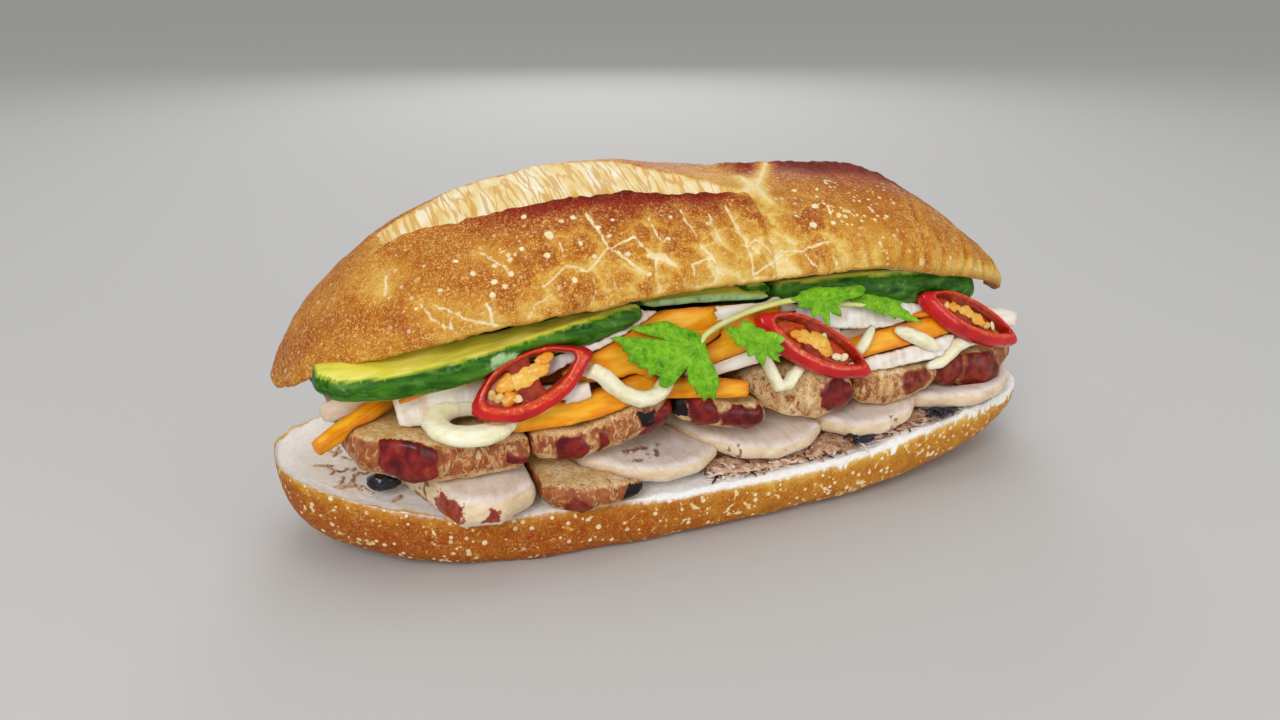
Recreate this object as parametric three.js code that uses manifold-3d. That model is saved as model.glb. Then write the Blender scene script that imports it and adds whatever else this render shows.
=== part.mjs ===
// Banh mi sandwich: a scored roll split in two halves with its fillings between them.
// Millimetres, +X along the roll, -Y the open front, +Z up, origin under the lower half.
import * as THREE from "three";
import { mergeVertices } from "three/addons/utils/BufferGeometryUtils.js";
import Module from "manifold-3d";

const wasm = await Module();
wasm.setup();

// ---------------------------------------------------------------- driving sizes
const LOWER = { centre: -0.5, halfLength: 110.5, halfWidth: 38, planPower: 2.6 };
const UPPER = { centre: -3.5, halfLength: 106, halfWidth: 37, planPower: 2.4 };
const RIDGE_Y = 5;
const DOME_POWER = { front: 1.8, back: 2.2 };
const CUT_DISH = 1.2;
const EAR_LIFT = 1.4;
const EAR_WIDTH = 7;
const SCORE_DEPTH = 2.4;
const WHITE_SLICE_THICKNESS = 4.9;
const PATE_BASE = 0.65;
const PATE_TOP = 1.9;
const CARROT_THICKNESS = 4.2;
const DAIKON_THICKNESS = 2.6;
const CHILI_THICKNESS = 4.2;
const CHILI_WALL = 2.6;
const CHILI_WEB = 0.2;
const LEAF_THICKNESS = 0.8;
const STEM_RADIUS = 0.75;
const MAYO_RADIUS = 2.1;
const PORK_BACK = { y: 33, low: 31, high: 37.6 };
const CUCUMBER_BACK = { y: 31, low: 41.4, high: 45.2 };

// Gap left between two pieces, and how coarse the shape is that a piece keeps clear of others.
const CLEARANCE = 0.35;
const COARSENING = 0.25;
const FINE = { tolerance: 0.1 };
const OPEN_BENDS = { bends: true };

// Colour and roughness of each kind of piece.
const CRUST = ["#c98a3c", 0.7];
const MEAT = ["#b98a5c", 0.55];
const WHITE_MEAT = ["#e8d3c2", 0.6];
const CUCUMBER = ["#3f8a2e", 0.4];
const CARROT = ["#ee8a1e", 0.45];
const DAIKON = ["#efe3d6", 0.4];
const MAYO = ["#f6f1c8", 0.35];
const CHILI = ["#c4161c", 0.25];
const LEAF = ["#5fa63a", 0.55];
const PATE = ["#a8826a", 0.75];
const DARK = ["#1c1a20", 0.35];

const { lerp, clamp, degToRad } = THREE.MathUtils;
const root = new THREE.Group();
root.name = "banh_mi";

// ---------------------------------------------------------------- small helpers
// Smooth curve through [position, value] pairs.
function track(...pairs) {
  const last = pairs.length - 1;
  const slope = (i) => {
    const a = pairs[Math.max(0, i - 1)];
    const b = pairs[Math.min(last, i + 1)];
    return (b[1] - a[1]) / (b[0] - a[0]);
  };
  return (x) => {
    if (x <= pairs[0][0]) {
      return pairs[0][1];
    }
    if (x >= pairs[last][0]) {
      return pairs[last][1];
    }
    const i = pairs.findIndex((pair, k) => k > 0 && x <= pair[0]) - 1;
    const [x0, v0] = pairs[i];
    const [x1, v1] = pairs[i + 1];
    const h = x1 - x0;
    const t = (x - x0) / h;
    const a = (1 + 2 * t) * (1 - t) ** 2 * v0 + t * (1 - t) ** 2 * h * slope(i);
    return a + t * t * (3 - 2 * t) * v1 + t * t * (t - 1) * h * slope(i + 1);
  };
}

// Half width of a rounded plan at a place between -1 and 1 along it.
const roundedPlan = (t, power) => Math.max(0, 1 - Math.abs(t) ** power) ** (1 / power);

// Places from -1 to 1 that crowd towards both ends without reaching them.
const crowded = (i, count) => -Math.cos((Math.PI * (i + 0.35)) / (count + 0.7));

// Repeatable unevenness, about -1 to 1.
const wobble = (a, seed) => 0.6 * Math.sin(a + seed * 1.7) + 0.4 * Math.sin(2.3 * a + seed * 2.9);

// Volume enclosed by the triangles, negative when they face inwards.
function enclosed(positions, index) {
  let volume = 0;
  const corner = (k) => new THREE.Vector3().fromArray(positions, 3 * index[k]);
  for (let i = 0; i < index.length; i += 3) {
    volume += corner(i).dot(corner(i + 1).cross(corner(i + 2))) / 6;
  }
  return volume;
}

// Solid skinned over rings of equal point counts, each end closed on its middle.
function skin(rings) {
  const n = rings[0].length;
  const positions = rings.flat(2);
  const index = [];
  for (let a = 0; a < (rings.length - 1) * n; a += 1) {
    const b = (a + 1) % n === 0 ? a + 1 - n : a + 1;
    index.push(a, b, b + n, a, b + n, a + n);
  }
  const close = (ring, first, flip) => {
    const apex = positions.length / 3;
    positions.push(...[0, 1, 2].map((k) => ring.reduce((sum, p) => sum + p[k], 0) / n));
    for (let i = 0; i < n; i += 1) {
      const j = (i + 1) % n;
      index.push(apex, first + (flip ? j : i), first + (flip ? i : j));
    }
  };
  close(rings[0], 0, true);
  close(rings[rings.length - 1], (rings.length - 1) * n, false);
  const geometry = new THREE.BufferGeometry();
  geometry.setAttribute("position", new THREE.Float32BufferAttribute(positions, 3));
  geometry.setIndex(enclosed(positions, index) < 0 ? index.reverse() : index);
  return geometry;
}

// ---------------------------------------------------------------- bread
// Heights of the halves' rims and ridge along the roll.
const lowerFrontRim = track(
  [-111, 24.5], [-103, 22.5], [-94, 20], [-84, 17.5], [-72, 15.4], [-55, 14.3],
  [20, 14.7], [38, 15.8], [55, 18], [75, 20], [98, 20], [110, 19],
);
const lowerBackRim = track([-111, 24.5], [-70, 23.5], [60, 23], [95, 21.5], [110, 19]);
const lowerFootDip = track([-111, 4], [-60, 3.2], [-20, 1.8], [30, 1.2], [110, 0.9]);
const upperFrontRim = track(
  [-109.5, 45.5], [-99, 53], [-88, 56.6], [-66, 62], [-49, 64.6], [-33, 66.4], [-16, 68],
  [33, 68.2], [49, 67], [66, 63.8], [77, 61], [88, 57], [97, 53], [102.5, 49],
);
const upperBackRim = track([-109.5, 45.5], [-60, 45.5], [0, 46], [60, 46], [102.5, 49]);
const upperRidge = track(
  [-109.5, 45.5], [-101, 60], [-88, 72.4], [-79, 79], [-64, 85], [-43, 90.4], [-24, 92],
  [-7, 90.6], [17, 87.8], [39, 86.8], [58, 84], [72, 78], [84, 70], [92, 63.5], [99, 56], [102.5, 49],
);

function halfWidth(half, x) {
  return half.halfWidth * roundedPlan((x - half.centre) / half.halfLength, half.planPower);
}

// Height of a cut face: from its front rim to its back rim, dished by an amount between them.
function cutFace(half, frontRim, backRim, dish, x, y) {
  const w = Math.max(halfWidth(half, x), 6);
  const s = clamp((y + w) / (2 * w), 0, 1);
  return lerp(frontRim, backRim, s) + dish * 4 * s * (1 - s);
}
const bed = (x, y) => cutFace(LOWER, lowerFrontRim(x), lowerBackRim(x), -CUT_DISH, x, y);
const lid = (x, y) => cutFace(UPPER, upperFrontRim(x) - 1.6, upperBackRim(x), CUT_DISH, x, y);

function lowerBun() {
  const stations = 20;
  const crustPoints = 12;
  const rings = [];
  for (let i = 0; i <= stations; i += 1) {
    const t = crowded(i, stations);
    const x = LOWER.centre + LOWER.halfLength * t;
    const w = halfWidth(LOWER, x);
    const depth = roundedPlan(t, t < 0 ? 3 : 2.2);
    const power = lerp(5, 2.6, t ** 4);
    const ring = [];
    for (let k = 0; k <= crustPoints; k += 1) {
      const a = (Math.PI * k) / crustPoints;
      const side = Math.sign(Math.cos(a)) * Math.abs(Math.cos(a)) ** (2 / power);
      const rim = lerp(lowerFrontRim(x), lowerBackRim(x), (1 - side) / 2);
      const drop = (rim + lowerFootDip(x)) * depth * Math.sin(a) ** (2 / power);
      ring.push([x, -w * side, Math.max(0, rim - drop)]);
    }
    for (const side of [-0.88, 0, 0.88]) {
      ring.push([x, -w * side, bed(x, -w * side)]);
    }
    rings.push(ring);
  }
  return skin(rings);
}

// The two oblique scores: each has a raised lip at its front and an opening behind it.
const frontScore = {
  from: -88,
  to: 14,
  lip: track([-90, 3], [-80, -6], [-64, -11], [-48, -15], [-25, -17.5], [14, -19], [22, -21]),
  back: track([-90, 4], [-76, 6], [-58, 11], [-38, 11], [-18, 5], [-6, -4], [6, -13], [14, -18.6]),
};
const backScore = {
  from: 2,
  to: 89,
  lip: track([-8, 3], [6, 3.5], [45, 5], [72, 7], [92, 11]),
  back: track([0, 5], [18, 15], [45, 20], [70, 18], [90, 11.5]),
};

// How far the scores raise or lower the crust. On a lip line, onLip picks the lip or the floor behind it.
function scoreOffset(x, y, onLip) {
  let offset = 0;
  for (const { from, to, lip, back } of [frontScore, backScore]) {
    if (x <= from || x >= to) {
      continue;
    }
    const strength = Math.min(1, (5 * Math.min(x - from, to - x)) / (to - from));
    const behind = y - lip(x);
    const opening = Math.max(back(x) - lip(x), 0.5);
    if (behind > 0 || (behind === 0 && !onLip)) {
      offset -= SCORE_DEPTH * strength * clamp(1 - behind / opening, 0, 1) ** 0.8;
    } else {
      offset += EAR_LIFT * strength * clamp(1 + behind / EAR_WIDTH, 0, 1) ** 2;
    }
  }
  return offset;
}

// The domed crust before its scores: a rounded arch from each rim to the ridge.
function dome(x, y) {
  const w = halfWidth(UPPER, x);
  const front = y < RIDGE_Y;
  const rim = front ? upperFrontRim(x) : upperBackRim(x);
  const reach = Math.max(front ? w + RIDGE_Y : w - RIDGE_Y, 0.5);
  const share = clamp(Math.abs(y - RIDGE_Y) / reach, 0, 1);
  return lerp(rim, upperRidge(x), roundedPlan(share, front ? DOME_POWER.front : DOME_POWER.back));
}

function upperBun() {
  const stations = 22;
  const floorStep = 0.3;
  const rings = [];
  for (let i = 0; i <= stations; i += 1) {
    const x = UPPER.centre + UPPER.halfLength * crowded(i, stations);
    const w = halfWidth(UPPER, x);
    const front = clamp(frontScore.lip(x), -0.72 * w, -0.2 * w);
    const back = clamp(backScore.lip(x), 0.08 * w, 0.5 * w);
    const outer = (y) => [x, y, dome(x, y) + scoreOffset(x, y, true)];
    const floor = (y) => [x, y + floorStep, dome(x, y) + scoreOffset(x, y, false)];
    const ring = [];
    for (const s of [0, 0.04, 0.2, 0.58, 1]) {
      ring.push(outer(lerp(-w, front, s)));
    }
    ring.push(floor(front), outer(lerp(front, back, 0.5)), outer(back), floor(back));
    for (const s of [0.4, 0.78, 0.96, 1]) {
      ring.push(outer(lerp(back, w, s)));
    }
    for (const s of [0.95, 0, -0.95]) {
      ring.push([x, w * s, lid(x, w * s)]);
    }
    rings.push(ring);
  }
  return skin(rings);
}

// ---------------------------------------------------------------- slabs, slices and strips
// A slab running from the front to the back, with rounded ends and a nosed front and back edge.
// Each station is [x, front y, low z, high z].
function slab({ back, round = 2.5, seed, spacing = 13 }, ...stations) {
  const [frontAt, lowAt, highAt] = [1, 2, 3].map((k) => track(...stations.map((s) => [s[0], s[k]])));
  const x0 = stations[0][0];
  const x1 = stations[stations.length - 1][0];
  const inner = Math.max(3, Math.round((x1 - x0) / spacing));
  const places = [[x0, 0.6]];
  for (let i = 0; i <= inner; i += 1) {
    places.push([lerp(x0 + round, x1 - round, i / inner), 1]);
  }
  places.push([x1, 0.6]);
  return skin(places.map(([x, scale]) => {
    const front = { low: lowAt(x), high: highAt(x) };
    const squeeze = 1.6 * (1 - scale);
    const frontY = frontAt(x) + 0.5 * wobble(x / 5, seed) + squeeze;
    const backY = back.y + 0.8 * wobble(x / 6, seed + 3) - squeeze;
    const lift = Math.max(0, bed(x, backY) + 0.4 - back.low);
    const nose = Math.min(2.2, 0.28 * (front.high - front.low));
    const frontPoint = (inset, v) => {
      return [x, frontY + inset, lerp(front.low, front.high, (1 + v * scale) / 2)];
    };
    const backPoint = (inset, v) => {
      return [x, backY - inset, lift + lerp(back.low, back.high, (1 + v * scale) / 2)];
    };
    return [
      frontPoint(0, 0.35), frontPoint(nose / 2, 0.86), frontPoint(nose, 1),
      backPoint(nose, 1), backPoint(0, 0.35), backPoint(0, -0.35), backPoint(nose, -1),
      frontPoint(nose, -1), frontPoint(0, -0.35),
    ];
  }));
}

// A round slice lying on the bread: tilt raises its -X side.
function roundSlice({ x, y, rx, ry, low, tilt, seed }) {
  const n = 16;
  const rest = (px, py) => Math.max(low + tilt * (x - px) + 0.09 * (py - y), bed(px, py) + PATE_TOP + 0.95);
  const levels = [[0.95, 0], [1, 0.3], [1, 0.74], [0.96, 1]];
  return skin(levels.map(([scale, level]) => {
    const ring = [];
    for (let i = 0; i < n; i += 1) {
      const a = (2 * Math.PI * i) / n;
      const r = scale * (1 + 0.025 * wobble(2 * a, seed));
      const px = x + rx * r * Math.cos(a);
      const py = y + ry * r * Math.sin(a);
      ring.push([px, py, rest(px, py) + level * WHITE_SLICE_THICKNESS]);
    }
    return ring;
  }));
}

// The thin minced layer spread on the bread under the white slices.
function pateLayer() {
  const [start, end, steps] = [-7, 78, 8];
  const section = [[1, 0], [1, 0.6], [0.95, 1], [0, 1], [-0.95, 1], [-1, 0.6], [-1, 0], [0, 0]];
  const rings = [];
  for (let i = 0; i <= steps; i += 1) {
    const x = lerp(start, end, i / steps);
    const edge = (halfWidth(LOWER, x) - 1.6) * (i % steps === 0 ? 0.93 : 1);
    rings.push(section.map(([share, level]) => {
      const y = -edge * share + 0.5 * wobble(x / 4, 5);
      return [x, y, bed(x, y) + lerp(PATE_BASE, PATE_TOP, level)];
    }));
  }
  return skin(rings);
}

// Places along a path, each with its sideways and upward directions.
function frames(path, count) {
  const curve = new THREE.CatmullRomCurve3(path.map((p) => new THREE.Vector3(...p)));
  const result = [];
  for (let i = 0; i <= count; i += 1) {
    const at = curve.getPointAt(i / count);
    const along = curve.getTangentAt(i / count);
    const side = new THREE.Vector3().crossVectors(along, new THREE.Vector3(0, 0, 1)).normalize();
    const up = new THREE.Vector3().crossVectors(side, along).normalize();
    result.push({ at, side, up });
  }
  return result;
}

// A cut strip with square corners: width is its upright face, lean tips the top back.
function strip({ width, thickness, lean = 0, count = 5 }, ...path) {
  const corners = [[1, -1], [1, 1], [-1, 1], [-1, -1]];
  return skin(frames(path, count).map(({ at, side, up }, i) => {
    const end = i % count === 0 ? 0.43 : 0.5;
    return corners.map(([s, u]) => {
      const across = s * end * thickness;
      const height = u * end * width;
      return at.clone()
        .addScaledVector(side, across * Math.cos(lean) + height * Math.sin(lean))
        .addScaledVector(up, height * Math.cos(lean) - across * Math.sin(lean))
        .toArray();
    });
  }));
}

// A squeezed line of sauce with rounded ends.
function sauceLine({ radius, count }, ...path) {
  const sides = 5;
  return skin(frames(path, count).map(({ at, side, up }, i) => {
    const taper = [0.45, 0.92][Math.min(i, count - i)] ?? 1 + 0.06 * Math.sin(2.1 * i);
    const ring = [];
    for (let k = 0; k < sides; k += 1) {
      const a = (2 * Math.PI * k) / sides;
      const p = at.clone().addScaledVector(side, radius * taper * Math.cos(a));
      ring.push(p.addScaledVector(up, radius * taper * Math.sin(a)).toArray());
    }
    return ring;
  }));
}

// A closed loop of sauce, lying at a tilt.
function sauceLoop({ centre, rx, ry, radius, tiltX, tiltY }) {
  const geometry = new THREE.TorusGeometry(1, 0.5, 5, 14);
  const position = geometry.getAttribute("position");
  for (let i = 0; i < position.count; i += 1) {
    const x = position.getX(i);
    const y = position.getY(i);
    const r = Math.hypot(x, y);
    const off = 2 * (r - 1) * radius;
    position.setXYZ(i, (x / r) * (rx + off), (y / r) * (ry + off), 1.1 * radius * position.getZ(i));
  }
  return geometry.rotateY(tiltY).rotateX(tiltX).translate(...centre);
}

// An oblique chili ring seen from the front: red wall, one web across it and an open chamber each side.
// It is drawn flat, then carried to its place between its left and right ends, leaning back.
function chiliRing({ left, right, breadth, lean, webAt }) {
  const a = new THREE.Vector3(...left);
  const b = new THREE.Vector3(...right);
  const bevel = 0.4;
  const arc = (rx, ry, from, to, points) => {
    const result = [];
    for (let i = 0; i < points; i += 1) {
      const angle = lerp(from, to, i / (points - 1));
      const taper = 1 - 0.12 * Math.cos(angle);
      result.push(new THREE.Vector2(rx * Math.cos(angle), ry * taper * Math.sin(angle)));
    }
    return result;
  };
  const rx = a.distanceTo(b) / 2;
  const ry = breadth / 2;
  const shape = new THREE.Shape(arc(rx - bevel, ry - bevel, 0, 2 * Math.PI, 19).slice(1));
  const chamber = (from, to) => new THREE.Path(arc(rx - CHILI_WALL - 1, ry - CHILI_WALL, from, to, 6));
  const rightEdge = Math.acos(webAt + CHILI_WEB);
  const leftEdge = Math.acos(webAt - CHILI_WEB);
  shape.holes.push(chamber(-rightEdge, rightEdge), chamber(leftEdge, 2 * Math.PI - leftEdge));
  const geometry = new THREE.ExtrudeGeometry(shape, {
    depth: CHILI_THICKNESS - 2 * bevel,
    bevelThickness: bevel,
    bevelSize: bevel,
    bevelSegments: 1,
  });
  const along = b.clone().sub(a).normalize();
  const outward = new THREE.Vector3(0, -Math.cos(lean), Math.sin(lean));
  outward.addScaledVector(along, -outward.dot(along)).normalize();
  const across = new THREE.Vector3().crossVectors(outward, along);
  const place = new THREE.Matrix4().makeBasis(along, across, outward);
  place.setPosition(a.add(b).multiplyScalar(0.5));
  return geometry.translate(0, 0, bevel - CHILI_THICKNESS / 2).applyMatrix4(place);
}

// A cilantro leaf facing the front: each lobe is [direction in degrees, length, half width in degrees].
function leaf({ centre, lean, cup, seed, stem }, ...lobes) {
  const points = [];
  const n = 34;
  for (let i = 0; i < n; i += 1) {
    const degrees = (360 * i) / n;
    let r = 4.5;
    for (const [direction, length, spread] of lobes) {
      const away = (((degrees - direction + 540) % 360) - 180) / (1.5 * spread);
      r = Math.max(r, length * Math.exp(-0.8 * away * away));
    }
    r *= i % 2 ? 1.05 : 0.95;
    points.push(new THREE.Vector2(r * Math.cos(degToRad(degrees)), r * Math.sin(degToRad(degrees))));
  }
  const blade = new THREE.ExtrudeGeometry(new THREE.Shape(points), {
    depth: LEAF_THICKNESS,
    bevelEnabled: false,
  });
  const position = blade.getAttribute("position");
  for (let i = 0; i < position.count; i += 1) {
    const u = position.getX(i) / 12;
    const v = position.getY(i) / 12;
    position.setZ(i, position.getZ(i) - cup * (u * u + v * v) + 0.5 * Math.sin(3 * u + 2 * v + seed));
  }
  blade.rotateX(Math.PI / 2 - lean).translate(...centre);
  if (!stem) {
    return blade;
  }
  const stalk = sauceLine({ radius: STEM_RADIUS, count: 5 }, ...stem);
  return fromManifold(toManifold(blade).add(toManifold(stalk)));
}

// An uneven rounded lump.
function lump(centre, radii, seed) {
  const geometry = new THREE.IcosahedronGeometry(1, 1);
  const position = geometry.getAttribute("position");
  for (let i = 0; i < position.count; i += 1) {
    const p = new THREE.Vector3().fromBufferAttribute(position, i);
    p.multiplyScalar(1 + 0.12 * wobble(3 * p.x + 4 * p.y + 2 * p.z, seed));
    position.setXYZ(i, p.x, p.y, p.z);
  }
  return geometry.scale(...radii).translate(...centre);
}

// ---------------------------------------------------------------- solids and clearances
function toManifold(geometry) {
  const plain = geometry.clone();
  plain.deleteAttribute("normal");
  plain.deleteAttribute("uv");
  const merged = mergeVertices(plain, 1e-3);
  const vertProperties = new Float32Array(merged.getAttribute("position").array);
  const triVerts = new Uint32Array(merged.getIndex().array);
  return new wasm.Manifold(new wasm.Mesh({ numProp: 3, vertProperties, triVerts }));
}

function fromManifold(solid) {
  const { vertProperties, triVerts } = solid.getMesh();
  const geometry = new THREE.BufferGeometry();
  geometry.setAttribute("position", new THREE.BufferAttribute(new Float32Array(vertProperties), 3));
  geometry.setIndex(new THREE.BufferAttribute(new Uint32Array(triVerts), 1));
  return geometry;
}

// The same solid with its surface moved out by a gap.
function grown(solid, gap) {
  const geometry = fromManifold(solid);
  geometry.computeVertexNormals();
  const normal = geometry.getAttribute("normal").array;
  const vertProperties = geometry.getAttribute("position").array.map((value, i) => value + gap * normal[i]);
  const triVerts = geometry.getIndex().array;
  return new wasm.Manifold(new wasm.Mesh({ numProp: 3, vertProperties, triVerts }));
}

const largest = (solid) => solid.decompose().sort((a, b) => b.volume() - a.volume())[0];

const touching = (a, b) => [0, 1, 2].every((k) => a.min[k] < b.max[k] + 0.5 && b.min[k] < a.max[k] + 0.5);

// Adds a piece after clearing it from those already placed. Each placed piece keeps later ones out
// of a coarse shape around it, its convex hull unless it is open inside its bends.
const placed = [];
function add(name, look, geometry, { tolerance = 0.2, bends = false } = {}) {
  const whole = toManifold(geometry);
  let solid = whole;
  for (const other of placed) {
    if (touching(solid.boundingBox(), other.box)) {
      solid = solid.subtract(other.keepOut);
    }
  }
  solid = largest(solid.simplify(tolerance));
  const around = grown(whole.simplify(COARSENING), CLEARANCE + COARSENING);
  placed.push({ box: solid.boundingBox(), keepOut: bends ? around : around.hull() });
  const shown = fromManifold(solid).toNonIndexed();
  shown.computeVertexNormals();
  const [color, roughness] = look;
  const mesh = new THREE.Mesh(shown, new THREE.MeshStandardMaterial({ color, roughness, metalness: 0 }));
  mesh.name = name;
  root.add(mesh);
}

// ---------------------------------------------------------------- bread, chili, herbs and sauce
add("bun_lower", CRUST, lowerBun(), OPEN_BENDS);
add("bun_upper", CRUST, upperBun(), OPEN_BENDS);

add("chili_left", CHILI, chiliRing({
  left: [-68, -33.5, 42.4], right: [-38.2, -34.5, 54.6], breadth: 15, lean: 0.5, webAt: -0.1,
}));
add("chili_middle", CHILI, chiliRing({
  left: [7, -32.5, 56.8], right: [39.6, -36, 38.2], breadth: 13, lean: 0.6, webAt: 0,
}));
add("chili_right", CHILI, chiliRing({
  left: [59.4, -28, 55.4], right: [94.6, -27.5, 37.2], breadth: 12, lean: 0.75, webAt: -0.2,
}));

add("leaf_large", LEAF, leaf({
  centre: [-12, -37.5, 51.5], lean: 0.4, cup: 1.2, seed: 1,
  stem: [[-9.5, -36, 55], [1, -33.4, 58.2], [12, -31.6, 59.6], [19, -31, 60.4]],
}, [152, 16, 15], [170, 21.5, 11], [188, 17, 14], [232, 15, 17], [284, 16.5, 20], [52, 6.5, 40]));
add("leaf_middle", LEAF, leaf({
  centre: [3.6, -40.4, 53], lean: 0.35, cup: 1, seed: 4,
}, [165, 10, 15], [128, 7, 20], [-5, 8, 18], [-55, 9, 18], [-90, 8.5, 15], [208, 8, 18]));
add("leaf_top", LEAF, leaf({
  centre: [25.5, -33.5, 59.8], lean: 0.5, cup: 1, seed: 2,
}, [178, 9.5, 12], [205, 6.5, 16], [232, 7, 14], [270, 8, 18], [-45, 7, 16], [22, 12.5, 14]));
add("leaf_long", LEAF, leaf({
  centre: [44, -32.5, 55.6], lean: 0.6, cup: 0.7, seed: 6,
}, [158, 8, 16], [182, 8, 12], [90, 3.6, 30], [8, 7.5, 14], [-21, 14, 10], [-45, 6, 20]));

add("mayo_loop", MAYO, sauceLoop({
  centre: [-68, -31, 39.8], rx: 8.4, ry: 6, radius: 2.5, tiltX: 0.3, tiltY: 0.05,
}));
add("mayo_curl", MAYO, sauceLine(
  { radius: MAYO_RADIUS, count: 13 },
  [-43, -33, 50], [-37, -34.5, 49], [-32, -35.5, 44], [-26, -36.5, 41], [-20.5, -36, 42.5],
  [-19, -35, 46.5], [-24, -33.5, 49.5],
), OPEN_BENDS);
add("mayo_point", MAYO, sauceLine(
  { radius: 0.8 * MAYO_RADIUS, count: 8 },
  [8, -33.5, 48], [10.5, -34.8, 42.5], [13.2, -36.3, 37.6], [16.5, -35.6, 41], [20.5, -34.3, 43.5],
), OPEN_BENDS);
add("mayo_drip", MAYO, sauceLine(
  { radius: 0.7 * MAYO_RADIUS, count: 4 },
  [43.5, -30, 49], [40.5, -31.5, 46], [36.5, -33, 42.5],
));
add("mayo_stick", MAYO, sauceLine(
  { radius: 0.95 * MAYO_RADIUS, count: 5 },
  [50.5, -30.5, 47.5], [57, -31.5, 44.8], [63.5, -32.5, 41],
));
add("mayo_right", MAYO, sauceLine(
  { radius: 0.9 * MAYO_RADIUS, count: 7 },
  [88, -27, 38.5], [78, -28.5, 40.5], [72, -29.5, 40], [67, -31, 36.8], [61, -31.5, 35.6],
));

// ---------------------------------------------------------------- roast pork over the white slices
add("pork_1", MEAT, slab(
  { back: { y: 22, low: 32.5, high: 39.5 }, round: 3, seed: 1 },
  [-96.5, -21, 31, 37.6], [-93.5, -28.5, 29.2, 38.2], [-88.5, -32, 28.8, 38.2], [-83.5, -35.2, 27.2, 38.6],
  [-76, -35.2, 26.2, 35.8], [-60, -34.5, 25.4, 34.4], [-54, -34, 26, 35],
));
add("pork_2", MEAT, slab(
  { back: { ...PORK_BACK, y: 31 }, seed: 2 },
  [-53.2, -33, 27, 35], [-44, -34.5, 26.2, 33.6], [-35, -34.5, 26.4, 35.4], [-27, -34, 29, 38],
  [-16.6, -33, 31.4, 39.8],
));
add("pork_3", MEAT, slab(
  { back: PORK_BACK, seed: 3 },
  [-15.8, -34, 32.4, 39.6], [-9, -34.6, 30, 38.4], [0, -35, 27.8, 35], [9.8, -35, 26.8, 33.6],
));
add("pork_4", MEAT, slab(
  { back: { ...PORK_BACK, y: 32 }, seed: 4 },
  [5.2, -28, 34, 40.6], [12, -31.5, 29.8, 42.4], [20, -33.5, 26.8, 42.2], [29, -33.8, 25.6, 39.6],
  [38, -32, 27.6, 36],
));
add("pork_5", MEAT, slab(
  { back: { ...PORK_BACK, y: 32 }, seed: 5 },
  [38.6, -31.6, 28, 37], [47, -33, 26, 36.4], [56, -33, 26.6, 36], [66, -30.5, 28.4, 36.4],
));
add("pork_6", MEAT, slab(
  { back: { y: 25, low: 29.5, high: 36.5 }, seed: 6 },
  [66.6, -28.5, 28.6, 35], [72.5, -30.4, 27, 37], [77.5, -29, 26.6, 36], [83, -30.6, 24.8, 36.4],
  [91, -27, 26.6, 34],
));
add("pork_7", MEAT, slab(
  { back: { y: 14, low: 27, high: 35 }, seed: 7 },
  [91.6, -19, 26, 36], [97, -19.5, 25, 35.4], [103.4, -15, 25.6, 33],
));

// ---------------------------------------------------------------- white slices, each lapping the next
add("slice_4", WHITE_MEAT, roundSlice({
  x: 77, y: -4, rx: 25.5, ry: 32, low: 20.3, tilt: 0.01, seed: 4,
}), FINE);
add("slice_3", WHITE_MEAT, roundSlice({
  x: 46, y: -3, rx: 22.5, ry: 34, low: 20.6, tilt: 0.05, seed: 3,
}), FINE);
add("slice_2", WHITE_MEAT, roundSlice({
  x: 13, y: -2, rx: 27, ry: 35, low: 19.6, tilt: 0.12, seed: 2,
}), FINE);
add("slice_1", WHITE_MEAT, roundSlice({
  x: -20, y: -3, rx: 28, ry: 36, low: 20, tilt: 0.12, seed: 1,
}), FINE);
add("pork_low_2", MEAT, slab(
  { back: { y: 28, low: 23, high: 28.5 }, round: 2, seed: 8 },
  [-52, -36.5, 16.6, 22.6], [-47, -40.5, 15.2, 22.4], [-38, -41.5, 14.9, 21.4], [-31, -40.5, 15.2, 20.8],
  [-26, -38, 16.4, 20],
), FINE);
add("pork_low_1", WHITE_MEAT, slab(
  { back: { y: 29, low: 23.5, high: 30.5 }, round: 1.6, seed: 9 },
  [-84.5, -12, 19.4, 27], [-81, -23.5, 18, 26], [-78, -36, 17, 25], [-75.6, -40.4, 16.4, 24.6],
  [-66, -42.6, 15.8, 23.6], [-60, -41, 15.6, 23.2], [-53, -34.4, 16.2, 23],
), FINE);

add("dark_bit_left", DARK, lump([-87.4, -19.6, 22.4], [4.6, 3, 2.6], 1));
add("dark_bit_middle", DARK, lump([39.5, -34.6, 19.4], [4.6, 2.4, 1.9], 2));
add("dark_bit_right", DARK, lump([65.5, -34, 22.6], [4.6, 2.2, 1.5], 3));

// ---------------------------------------------------------------- cucumber under the upper half
add("cucumber_left", CUCUMBER, slab(
  { back: { y: -4, low: 46.6, high: 51.4 }, round: 4, seed: 10 },
  [-101.6, -26, 50, 52.6], [-97, -30.6, 48.7, 53], [-84, -32.6, 47.9, 53.2], [-72, -33, 48.8, 54.6],
  [-60, -33, 51.4, 56.8], [-45, -33, 54.4, 60], [-35, -32.6, 56.4, 61.8], [-24, -31, 59.4, 63.4],
));
add("cucumber_thin", CUCUMBER, slab(
  { back: { y: -10, low: 57, high: 60 }, seed: 11 },
  [-23, -30.6, 61.6, 64], [-10, -30.6, 61.4, 64.4], [4, -30, 60.4, 63.2], [13, -29, 59.4, 61.4],
));
add("cucumber_right", CUCUMBER, slab(
  { back: { y: -6, low: 51, high: 55.6 }, round: 3, seed: 12 },
  [14.6, -27.8, 58, 63.4], [30, -27.6, 55.8, 62.6], [46, -27, 53.6, 62.2], [60, -26.4, 51, 60.6],
  [74, -25, 50.2, 58.8], [82, -22, 49.8, 55.4],
));
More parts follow.
